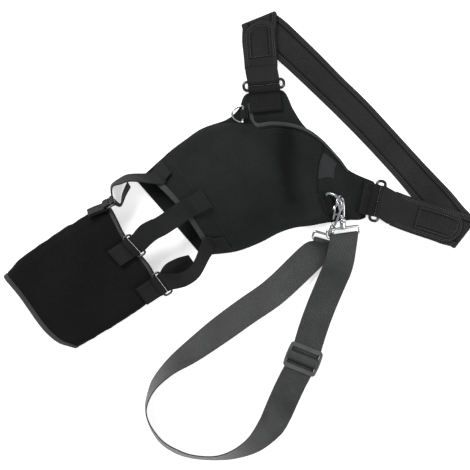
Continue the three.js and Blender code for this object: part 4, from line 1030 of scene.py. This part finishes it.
lowerShare = cuff["lowerTape"] / cuff["length"]
cuffGap = 0.3 / cuff["length"]
keep("arm_cuff", cuffShell("armCuff", lowerShare, 1 - upperShare, 90, cuff["slack"]))
keep("cuff_lower_binding", cuffShell("cuffLowerBinding", 0, lowerShare - cuffGap, 12, 0, 0.25))
keep("cuff_upper_binding", cuffShell("cuffUpperBinding", 1 - upperShare + cuffGap, 1, 12, 0, 0.25))
armRows = {n: armStrapRows(n, **spec) for n, spec in armStraps.items()}
for n, loop in enumerate(armLoops, 1):
    keepWeb(f"cuff_tab_{n}", f"cuffTab{n}", loop["rows"], arm["thickness"])
    keepRing(f"cuff_ring_{n}", f"cuffRing{n}", loop, arm["loopLength"], arm["loopDepth"], arm["loopWire"])
    keepWeb(f"arm_strap_{n}", f"armStrap{n}", armRows[n], arm["thickness"], 5)
print("cuff and arm straps made")

keep("shoulder_strap", strip("shoulderStrap", denser(strapRows(), 4), strap["thickness"], 0.55, inside=10))


def roundedShape(length, width, radius, x=0.0, straight=1):  # straight: parts of each straight side
    loop = roundedLoop(vec(x, 0), vec(1, 0), vec(0, 1), length, width, radius)
    return np.array([a + (b - a) * k / straight for a, b in zip(loop, np.roll(loop, -1, 0))
                     for k in range(straight if np.linalg.norm(b - a) > radius else 1)])


def buildSlider():  # moulded frame with a middle bar, from flat outlines with rounded edges
    slot = strap["width"] + clear
    wide = strap["width"] + 4 * clear + 2 * slider["wall"]
    slotLength = (slider["length"] - 3 * slider["bar"]) / 2
    frameLine = roundedShape(slider["length"], wide, slider["corner"], straight=6)
    frameLine[:, 1] += np.sign(frameLine[:, 1]) * slider["bow"] * (1 - (2 * frameLine[:, 0] / slider["length"]) ** 2)
    slotMiddle = (slider["bar"] + slotLength) / 2
    outlines = [frameLine, *(roundedShape(slotLength, slot, 0.8, side * slotMiddle) for side in (-1, 1))]
    curve = bpy.data.curves.new("sliderOutline", "CURVE")
    soft = slider["soft"]
    for key, value in dict(dimensions="2D", fill_mode="BOTH", extrude=slider["thickness"] / 2 - soft, bevel_depth=soft,
                           bevel_resolution=3, offset=-soft).items():
        setattr(curve, key, value)
    for outline in outlines:
        spline = curve.splines.new("POLY")
        spline.points.add(len(outline) - 1)
        for point, co in zip(spline.points, outline):
            point.co = (co[0], co[1], 0, 1)
        spline.use_cyclic_u = True
    holder = bpy.data.objects.new("sliderOutline", curve)
    bpy.context.scene.collection.objects.link(holder)
    flat = bpy.data.meshes.new_from_object(holder.evaluated_get(bpy.context.evaluated_depsgraph_get()))
    bpy.data.objects.remove(holder)
    bm = bmesh.new()
    bm.from_mesh(flat)
    bmesh.ops.remove_doubles(bm, verts=bm.verts, dist=0.001)
    bm.to_mesh(flat)
    bm.free()
    middle = sliderCentre + up * (sliderLift + slider["thickness"] / 2)
    points = np.array([v.co for v in flat.vertices]) @ np.stack([sliderAlong, sliderAcross, up]) + middle
    made = makeMesh("strapSlider", points, [tuple(p.vertices) for p in flat.polygons])
    bpy.data.meshes.remove(flat)
    made.data.polygons.foreach_set("use_smooth", [False] * len(made.data.polygons))
    return made


keep("strap_slider", buildSlider())
for key in ("a", "b"):
    eye, body, gate = buildHook(key)
    keep(f"hook_{key}_eye", eye)
    keep(f"hook_{key}_body", body, f"hook_{key}")
    keep(f"hook_{key}_gate", gate, f"hook_{key}_lever")
print("strap, slider and hooks made")

neckStart = onFront(neckEnds[0], 0.02, 0.9)[0]
onLug = [vec(neckStart[0] + x, neckStart[1] + y, 3.6) for x, y in ((-1, 11), (3, 21), (7, 31))]
lugPoints = smooth(np.array([neckStart + vec(1.5, -2, 0.4), neckStart, neckStart + vec(-1.5, 4, -1.4), *onLug]), 36)
lugAhead = unit(np.gradient(lugPoints, axis=0))
lugRows = np.array([row(p, np.cross(up, a) * tape["lug"] / 2) for p, a in zip(lugPoints, lugAhead)])
lugBinding = strip("lugBinding", lugRows, 1.0, 0.4)


# stitches: places gathered along the sewn lines, one small thread form on each

stitch = dict(length=2.6, thread=0.7, spacing=3.3, uneven=0.12, seed=7)
sewn = dict(belt=[], cap=[])  # place, direction and normal of each stitch
sewing = "belt"


def sewLine(points, normals, lift=0.1):
    distance = travelled(points)
    count = max(int(distance[-1] / stitch["spacing"]), 1)
    for d in (np.arange(count) + 0.5) * distance[-1] / count:
        i = max(min(int(np.searchsorted(distance, d)), len(points) - 1), 1)
        t = (d - distance[i - 1]) / max(distance[i] - distance[i - 1], 1e-9)
        n = unit(normals[i - 1] + (normals[i] - normals[i - 1]) * t)
        place = points[i - 1] + (points[i] - points[i - 1]) * t + n * lift
        if place[2] > stitch["thread"]:  # none below what lies on the floor
            sewn[sewing].append((place, unit(points[i] - points[i - 1]), n))


def upperFace(rows, at=0):  # which side of a strip looks up
    return 1 if normalsOf(np.asarray(rows, float))[at][2] > 0 else -1


def sewStrip(rows, across, face, start, end, thickness, lift=0.1):  # along a strip, at a share across it
    rows = denser(np.asarray(rows, float), 4)
    first, last = int(start * (len(rows) - 1)), int(end * (len(rows) - 1))
    normals = normalsOf(rows)[first:last + 1] * face
    part = rows[first:last + 1]
    sewLine(part[:, 0] + part[:, 1] * across + normals * thickness / 2, normals, lift)


def sewAcross(rows, share, face, thickness, reach, lift=0.1):  # straight across a strip
    rows = denser(np.asarray(rows, float), 4)
    i = int(share * (len(rows) - 1))
    normal = normalsOf(rows)[i] * face
    points = np.array([rows[i, 0] + rows[i, 1] * t * reach + normal * thickness / 2 for t in np.linspace(-1, 1, 13)])
    sewLine(points, np.tile(normal, (len(points), 1)), lift)


def sewRound(rows, inset, reach, thickness):  # up one side of a flat tab, round its end and back
    rows = denser(np.asarray(rows, float), 4)
    side = unit(rows[:, 1]) * (np.linalg.norm(rows[:, 1], axis=1)[:, None] - inset)
    ahead = unit(rows[-1, 0] - rows[-2, 0])
    arc = [rows[-1, 0] + ahead * (reach - inset) * math.sin(a) + side[-1] * math.cos(a)
           for a in np.linspace(0, math.pi, 24)[1:-1]]
    points = np.array([*(rows[:, 0] + side), *arc, *(rows[:, 0] - side)[::-1]]) + up * thickness / 2
    sewLine(points, np.tile(up, (len(points), 1)), 0.15)


def sewFront(line, height):  # on the front panel, through places (u, v)
    u, v = linePlaces(line)
    base, normal = frontGrid(u, v)
    sewLine(base + normal * (capSlack(u, v, base) + height)[:, None], normal)


for inset in belt["threads"]:
    for side in (-1, 1):
        for face, lift in ((-1, 0.05), (1, 0.12)):
            sewStrip(beltRows, side * (1 - 2 * inset / belt["width"]), face, 0.01, 0.99,
                     belt["thickness"] + 2 * belt["bindingLift"], lift)
for over, patch in beltSewn:
    sewRound(over[1:], 1.6, sizes["tabEnd"], sizes["tab"])
    sewRound(over[1:], 4, sizes["tabEnd"], sizes["tab"])
    sewRound(patch, 1.5, sizes["patchEnd"], sizes["patchThick"])
    sewAcross(patch, 0.05, upperFace(patch), sizes["patchThick"], 0.86, 0.15)
sewing = "cap"
sewFront([(u, v + 0.012) for u, v in capSeams["neck"]], -0.1)
sewFront([(u, v + 0.045) for u, v in capSeams["neck"]], 0)
onTape = tape["height"] + tape["thickness"]
sewFront([(u, 0.72 * neckShare(u)) for u in np.linspace(11.2 / 24, 21.8 / 24, 12)], onTape)
for share in (0.25, 0.8):
    sewFront([(hemShare * share, v) for v in np.linspace(0.04, 0.96, 14)], onTape)
sewFront(capSeams["sleeve"], 0.0)
middlePlace = np.mean(wingPlaces, axis=0)
edgePlaces = [middlePlace + (np.array(p) - middlePlace) * 0.86 for p in wingPlaces]
for start, end in zip(edgePlaces, edgePlaces[1:] + edgePlaces[:1]):
    sewFront([tuple(start), tuple((start + end) / 2), tuple(end)], tape["height"] + tape["thickness"] / 2)
for ring in (topRing, wingRing):
    for across in (-0.85, 0.85):
        sewStrip(ring["rows"], across, 1, 0.86, 0.985, sizes["tab"])
    sewAcross(ring["rows"], 0.975, 1, sizes["tab"], 0.82)
    sewAcross(ring["rows"], 0.87, 1, sizes["tab"], 0.82)
for ring in (frontRing, smallRing):
    for share in (0.88, 0.97):
        sewAcross(ring["rows"], share, 1, sizes["tab"], 0.8)
for t in (lowerShare * 0.78, 1 - upperShare * 0.7):
    proud, inner = (cuffGrid([t], np.linspace(0, 1, 121), height)[:, 0] for height in (0.28, -1))
    sewLine(proud, unit(proud - inner), 0.0)
for n, rows in armRows.items():
    for share in (0.015, 0.105):
        sewAcross(rows, share, upperFace(rows), arm["thickness"], 0.8)
    sewAcross(rows, 0.97, upperFace(rows, -1), arm["thickness"], 0.8)
    for face in (-1, 1):
        for across in (-0.85, 0.85):
            sewStrip(armLoops[n - 1]["rows"], across, face, 0.85, 0.985, arm["thickness"])


def stitchForms(title, places, threadFinish):  # one form on each place, by Geometry Nodes
    places = np.array(places, float)
    mesh = bpy.data.meshes.new("stitchPlaces")
    mesh.from_pydata(((places[:, 0] + shift) * mm).tolist(), [], [])
    for name, values in (("along", places[:, 1]), ("normal", places[:, 2])):
        mesh.attributes.new(name, "FLOAT_VECTOR", "POINT").data.foreach_set("vector", values.ravel())
    holder = bpy.data.objects.new("stitchPlaces", mesh)
    bpy.context.scene.collection.objects.link(holder)
    tree = bpy.data.node_groups.new("sewnStitches", "GeometryNodeTree")
    tree.interface.new_socket("Geometry", in_out="INPUT", socket_type="NodeSocketGeometry")
    inputs = (("Length", "Float", stitch["length"] * mm), ("Thread", "Float", stitch["thread"] * mm),
              ("Uneven", "Float", stitch["uneven"]), ("Seed", "Int", stitch["seed"]),
              ("Finish", "Material", threadFinish))
    sockets = [(tree.interface.new_socket(name, in_out="INPUT", socket_type="NodeSocket" + kind), value)
               for name, kind, value in inputs]
    tree.interface.new_socket("Geometry", in_out="OUTPUT", socket_type="NodeSocketGeometry")
    source, result, form, size, vary, least, long, along, normal, turn, place, real, finish = (
        tree.nodes.new(kind) for kind in (
            "NodeGroupInput", "NodeGroupOutput", "GeometryNodeMeshUVSphere", "ShaderNodeCombineXYZ",
            "FunctionNodeRandomValue", "ShaderNodeMath", "ShaderNodeMath", "GeometryNodeInputNamedAttribute",
            "GeometryNodeInputNamedAttribute", "FunctionNodeAxesToRotation", "GeometryNodeInstanceOnPoints",
            "GeometryNodeRealizeInstances", "GeometryNodeSetMaterial"))
    for name, value in (("Segments", 6), ("Rings", 4), ("Radius", 0.5)):
        form.inputs[name].default_value = value
    least.operation = "SUBTRACT"  # the shortest stitch, as a share of the length
    least.inputs[0].default_value = 1
    long.operation = "MULTIPLY"
    for node, name in ((along, "along"), (normal, "normal")):
        node.data_type = "FLOAT_VECTOR"
        node.inputs["Name"].default_value = name
    turn.primary_axis = "X"
    turn.secondary_axis = "Z"
    for start, output, end, entry in (
            (source, "Geometry", place, "Points"), (form, "Mesh", place, "Instance"),
            (along, "Attribute", turn, "Primary Axis"), (normal, "Attribute", turn, "Secondary Axis"),
            (turn, "Rotation", place, "Rotation"), (source, "Uneven", least, 1), (least, 0, vary, 2),
            (source, "Seed", vary, "Seed"), (vary, 1, long, 0), (source, "Length", long, 1), (long, 0, size, "X"),
            (source, "Thread", size, "Y"), (source, "Thread", size, "Z"), (size, 0, place, "Scale"),
            (place, "Instances", real, "Geometry"), (real, "Geometry", finish, "Geometry"),
            (source, "Finish", finish, "Material"), (finish, "Geometry", result, "Geometry")):
        tree.links.new(start.outputs[output], end.inputs[entry])
    modifier = holder.modifiers.new("stitches", "NODES")
    modifier.node_group = tree
    for socket, value in sockets:
        modifier[socket.identifier] = value
    mesh = bpy.data.meshes.new_from_object(holder.evaluated_get(bpy.context.evaluated_depsgraph_get()))
    bpy.data.objects.remove(holder)
    mesh.polygons.foreach_set("use_smooth", [True] * len(mesh.polygons))
    obj = bpy.data.objects.new(title, mesh)
    bpy.context.scene.collection.objects.link(obj)
    return obj


# finishes

def newFinish(name, roughness, metallic=0.0, sheen=0.0, sheenRoughness=0.5, specular=0.5):
    material = bpy.data.materials.new(name)
    material.use_nodes = True
    shader = material.node_tree.nodes["Principled BSDF"]
    for socket, value in (("Roughness", roughness), ("Metallic", metallic), ("Sheen Weight", sheen),
                          ("Sheen Roughness", sheenRoughness), ("Specular IOR Level", specular)):
        shader.inputs[socket].default_value = value
    return material, material.node_tree, shader


def patternNode(tree, kind, coordinates, **values):
    node = tree.nodes.new("ShaderNodeTex" + kind)
    for key, value in values.items():
        if key in node.inputs:
            node.inputs[key].default_value = value
        else:
            setattr(node, key, value)
    tree.links.new(coordinates, node.inputs["Vector"])
    return node


def colourBetween(tree, fac, dark, light, low=0.3, high=0.7):
    ramp = tree.nodes.new("ShaderNodeValToRGB")
    ramp.color_ramp.elements[0].position = low
    ramp.color_ramp.elements[1].position = high
    for element, colour in zip(ramp.color_ramp.elements, (dark, light)):  # given as on a screen, from 0 to 255
        colour = [colour] * 3 if isinstance(colour, int) else colour
        element.color = (*[((c / 255 + 0.055) / 1.055) ** 2.4 if c > 10 else c / 255 / 12.92 for c in colour], 1)
    tree.links.new(fac, ramp.inputs["Fac"])
    return ramp.outputs["Color"]


def mixed(tree, a, b):  # one colour darkened by another
    node = tree.nodes.new("ShaderNodeMix")
    node.data_type = "RGBA"
    node.blend_type = "MULTIPLY"
    node.inputs["Factor"].default_value = 1.0
    tree.links.new(a, node.inputs["A"])
    tree.links.new(b, node.inputs["B"])
    return node.outputs["Result"]


def bumped(tree, shader, heights):  # heights: (socket, strength, distance in mm)
    before = None
    for socket, strength, distance in heights:
        bump = tree.nodes.new("ShaderNodeBump")
        bump.inputs["Strength"].default_value = strength
        bump.inputs["Distance"].default_value = distance * mm
        tree.links.new(socket, bump.inputs["Height"])
        if before:
            tree.links.new(before, bump.inputs["Normal"])
        before = bump.outputs["Normal"]
    tree.links.new(before, shader.inputs["Normal"])


# knit or brushed cloth: tones, pitch of the knit and of the fibres in mm, with painted shade in grooves
def clothFinish(name, dark, light, sheen, specular, knit=1.0, fuzz=0.5, roughness=0.9, bump=0.5):
    material, tree, shader = newFinish(name, roughness, sheen=sheen, specular=specular)
    place = tree.nodes.new("ShaderNodeTexCoord").outputs["Object"]
    slow = patternNode(tree, "Noise", place, Scale=14.0, Detail=5.0, Roughness=0.6)
    cells = patternNode(tree, "Voronoi", place, Scale=1150 / knit, Randomness=0.9)
    fibres = patternNode(tree, "Noise", place, Scale=1500 / fuzz, Detail=3.0)
    colour = colourBetween(tree, slow.outputs["Fac"], dark, light)
    shade = colourBetween(tree, cells.outputs["Distance"], 255, 190, 0.1, 0.7)
    groove = tree.nodes.new("ShaderNodeAttribute")  # zero on pieces without that attribute; where it is set, painted shade in creases and pressed seams
    groove.attribute_name = "groove"
    # painted shade: colour down to 90 of 255 where the groove attribute is 1
    shade = mixed(tree, shade, colourBetween(tree, groove.outputs["Fac"], 255, 90, 0.0, 1.0))
    tree.links.new(mixed(tree, colour, shade), shader.inputs["Base Color"])
    bumped(tree, shader, [(cells.outputs["Distance"], bump, -0.22 * knit),
                          (fibres.outputs["Fac"], bump * 0.7, 0.12 * fuzz)])
    return material


# webbing or tape: tones, pitch of the ribs along and the picks across in mm, on the strip's own UV map
def wovenFinish(name, dark, light, rib, pick, sheen, specular, roughness=0.7, slant=0.0, bump=0.6):
    material, tree, shader = newFinish(name, roughness, sheen=sheen, sheenRoughness=0.35, specular=specular)
    coordinates = tree.nodes.new("ShaderNodeTexCoord")
    turn = tree.nodes.new("ShaderNodeMapping")
    turn.inputs["Rotation"].default_value = (0, 0, math.radians(slant))
    tree.links.new(coordinates.outputs["UV"], turn.inputs["Vector"])
    ribs, picks = (patternNode(tree, "Wave", turn.outputs["Vector"], bands_direction=direction, Scale=314.16 / pitch,
                               Distortion=distortion, Detail=1.0)
                   for direction, pitch, distortion in (("X", rib, 0.35), ("Y", pick, 0.6)))
    slow = patternNode(tree, "Noise", coordinates.outputs["Object"], Scale=20.0, Detail=4.0, Roughness=0.6)
    colour = colourBetween(tree, slow.outputs["Fac"], dark, light)
    shade = mixed(tree, colourBetween(tree, ribs.outputs["Fac"], 165, 255, 0.05, 0.7),
                  colourBetween(tree, picks.outputs["Fac"], 205, 255, 0.1, 0.8))
    tree.links.new(mixed(tree, colour, shade), shader.inputs["Base Color"])
    bumped(tree, shader, [(ribs.outputs["Fac"], bump, 0.3), (picks.outputs["Fac"], bump * 0.6, 0.14)])
    return material


def metalFinish(name, dark, light, roughness):
    material, tree, shader = newFinish(name, roughness, metallic=1.0)
    place = tree.nodes.new("ShaderNodeTexCoord").outputs["Object"]
    slow = patternNode(tree, "Noise", place, Scale=90.0, Detail=5.0, Roughness=0.65)
    fine = patternNode(tree, "Noise", place, Scale=1400.0, Detail=2.0)
    tree.links.new(colourBetween(tree, slow.outputs["Fac"], dark, light), shader.inputs["Base Color"])
    spread = tree.nodes.new("ShaderNodeMapRange")
    spread.inputs["To Min"].default_value = roughness * 0.7
    spread.inputs["To Max"].default_value = roughness * 1.5
    tree.links.new(slow.outputs["Fac"], spread.inputs["Value"])
    tree.links.new(spread.outputs["Result"], shader.inputs["Roughness"])
    bumped(tree, shader, [(fine.outputs["Fac"], 0.08, 0.05)])
    return material


def plasticFinish(name, dark, light):
    material, tree, shader = newFinish(name, 0.42, specular=0.5)
    place = tree.nodes.new("ShaderNodeTexCoord").outputs["Object"]
    slow = patternNode(tree, "Noise", place, Scale=60.0, Detail=4.0)
    grain = patternNode(tree, "Noise", place, Scale=2600.0, Detail=2.0)
    tree.links.new(colourBetween(tree, slow.outputs["Fac"], dark, light), shader.inputs["Base Color"])
    bumped(tree, shader, [(grain.outputs["Fac"], 0.25, 0.06)])
    return material


capFinish = clothFinish("neopreneKnit", (30, 31, 31), (39, 41, 41), specular=0.12, sheen=0.02)
cuffFinish = clothFinish("neopreneCuff", 22, 28, specular=0.07, sheen=0.01)
patchFinish = clothFinish("smoothPatch", (46, 48, 51), (54, 56, 59), knit=0.5, bump=0.25, roughness=0.7,
                          specular=0.15, sheen=0.03)
beltFinish = clothFinish("brushedLoop", 40, 51, knit=1.3, fuzz=0.9, sheen=0.05, bump=0.7, specular=0.1)
hookFinish = clothFinish("hookPatch", 32, 45, knit=1.5, bump=0.9, roughness=0.7, specular=0.12, sheen=0.03)
thread = dict(knit=0.5, bump=0.2, roughness=0.7, specular=0.2, sheen=0.02)
threadFinish = clothFinish("sewingThread", (46, 47, 47), (58, 59, 59), **thread)
paleThread = clothFinish("paleThread", 82, 100, **thread)
tapeFinish = wovenFinish("boundTape", (70, 71, 71), (85, 86, 86), 1.1, 0.8, slant=45, roughness=0.8,
                         specular=0.15, sheen=0.05)
webFinish = wovenFinish("ribbedWebbing", 26, 38, 2.1, 0.9, bump=0.9, specular=0.12, sheen=0.03)
tabFinish = wovenFinish("smoothWebbing", 38, 47, 1.3, 0.8, bump=0.4, specular=0.12, sheen=0.04)
armFinish = wovenFinish("armWebbing", (26, 27, 27), (38, 39, 39), 1.7, 0.8, specular=0.15, sheen=0.04)
strapFinish = wovenFinish("strapWebbing", (37, 38, 38), (55, 57, 56), 1.9, 0.7, roughness=0.42, specular=0.4, sheen=0.06)
sliderFinish = plasticFinish("mouldedPlastic", (62, 63, 63), (76, 77, 77))
darkMetal = metalFinish("darkMetal", (52, 53, 55), (88, 90, 93), 0.22)
nickel = metalFinish("nickelPlate", (150, 152, 154), (206, 208, 210), 0.17)

beltStitches = stitchForms("beltStitches", sewn["belt"], paleThread)
capStitches = stitchForms("capStitches", sewn["cap"], threadFinish)
print(len(sewn["belt"]), "and", len(sewn["cap"]), "stitches made")

for names, finish, slot in (
        ("cap_front_panel cap_back_panel", capFinish, "neoprene"), ("arm_cuff", cuffFinish, "neoprene"),
        ("wing_patch", patchFinish, "smooth_patch"),
        ("cap_sleeve_hem cap_neck_binding cuff_lower_binding cuff_upper_binding", tapeFinish, "tape"),
        ("chest_belt", beltFinish, "belt"), ("belt_patch_top belt_patch_wing", hookFinish, "hook_patch"),
        ("belt_tab_top belt_tab_wing", tabFinish, "webbing"),
        ("top_ring_tab wing_ring_tab d_ring_front_tab d_ring_top_tab", webFinish, "webbing"),
        ("cuff_tab_1 cuff_tab_2 cuff_tab_3", webFinish, "webbing"),
        ("arm_strap_1 arm_strap_2 arm_strap_3", armFinish, "arm_strap"), ("shoulder_strap", strapFinish, "strap"),
        ("strap_slider", sliderFinish, "slider_plastic"),
        ("top_ring wing_ring cuff_ring_1 cuff_ring_2 cuff_ring_3", darkMetal, "dark_metal"),
        ("d_ring_front d_ring_top", nickel, "nickel"), ("hook_a_eye hook_a_body hook_a_gate", nickel, "nickel"),
        ("hook_b_eye hook_b_body hook_b_gate", nickel, "nickel")):
    for node in names.split():
        obj, body = pieces[node]
        obj.data.materials.append(finish)
        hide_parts(node)
        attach(obj, body)
lugBinding.data.materials.append(tapeFinish)
for obj in (beltStitches, capStitches, lugBinding):
    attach(obj, "brace")
print("finishes and bodies set")


# floor, light and camera

studio = dict(centre=(0.0023, 0.0147), width=0.611, lens=85, sensor=36, level=0.02, world=0.47, key=39, fill=20,
              floor=0.9, glow=0.52, below=0.0004)
bpy.ops.mesh.primitive_plane_add(size=8, location=(0, 0, -studio["below"]))
floor = bpy.context.object
floor.name = "floor"
floorFinish, _, floorShader = newFinish("paleFloor", 0.9, specular=0.1)
for socket, value in (("Base Color", (studio["floor"],) * 3 + (1,)), ("Emission Color", (1, 1, 1, 1)),
                      ("Emission Strength", studio["glow"])):
    floorShader.inputs[socket].default_value = value
floor.data.materials.append(floorFinish)

world = bpy.data.worlds.new("studio")
world.use_nodes = True
background = world.node_tree.nodes["Background"]
background.inputs["Color"].default_value = (1, 1, 1, 1)
background.inputs["Strength"].default_value = studio["world"]
bpy.context.scene.world = world
photoRight = Vector((0.8387, -0.5446, 0))
photoUp = Vector((0.5446, 0.8387, 0))
centre = Vector((*studio["centre"], 0))


def areaLight(name, right, upward, height, size, power):
    light = bpy.data.lights.new(name, "AREA")
    light.shape = "RECTANGLE"
    light.size, light.size_y = size
    light.energy = power
    obj = bpy.data.objects.new(name, light)
    obj.location = centre + photoRight * right + photoUp * upward + Vector((0, 0, height))
    obj.rotation_euler = (centre - obj.location).to_track_quat("-Z", "Y").to_euler()
    bpy.context.scene.collection.objects.link(obj)


areaLight("keyLight", -0.9, 1.3, 1.5, (1.2, 0.9), studio["key"])
areaLight("fillLight", 1.4, -0.6, 1.3, (1.0, 1.0), studio["fill"])

camera = bpy.data.cameras.new("camera")
camera.lens = studio["lens"]
camera.sensor_width = studio["sensor"]
camera.clip_end = 20
cameraObject = bpy.data.objects.new("camera", camera)
height = studio["level"] + studio["width"] / studio["sensor"] * studio["lens"]
turnCamera = Matrix((photoRight, photoUp, Vector((0, 0, 1)))).transposed().to_4x4()
cameraObject.matrix_world = Matrix.Translation(centre + Vector((0, 0, height))) @ turnCamera
bpy.context.scene.collection.objects.link(cameraObject)
bpy.context.scene.camera = cameraObject
bpy.context.scene.view_settings.view_transform = "Standard"
print("studio made")
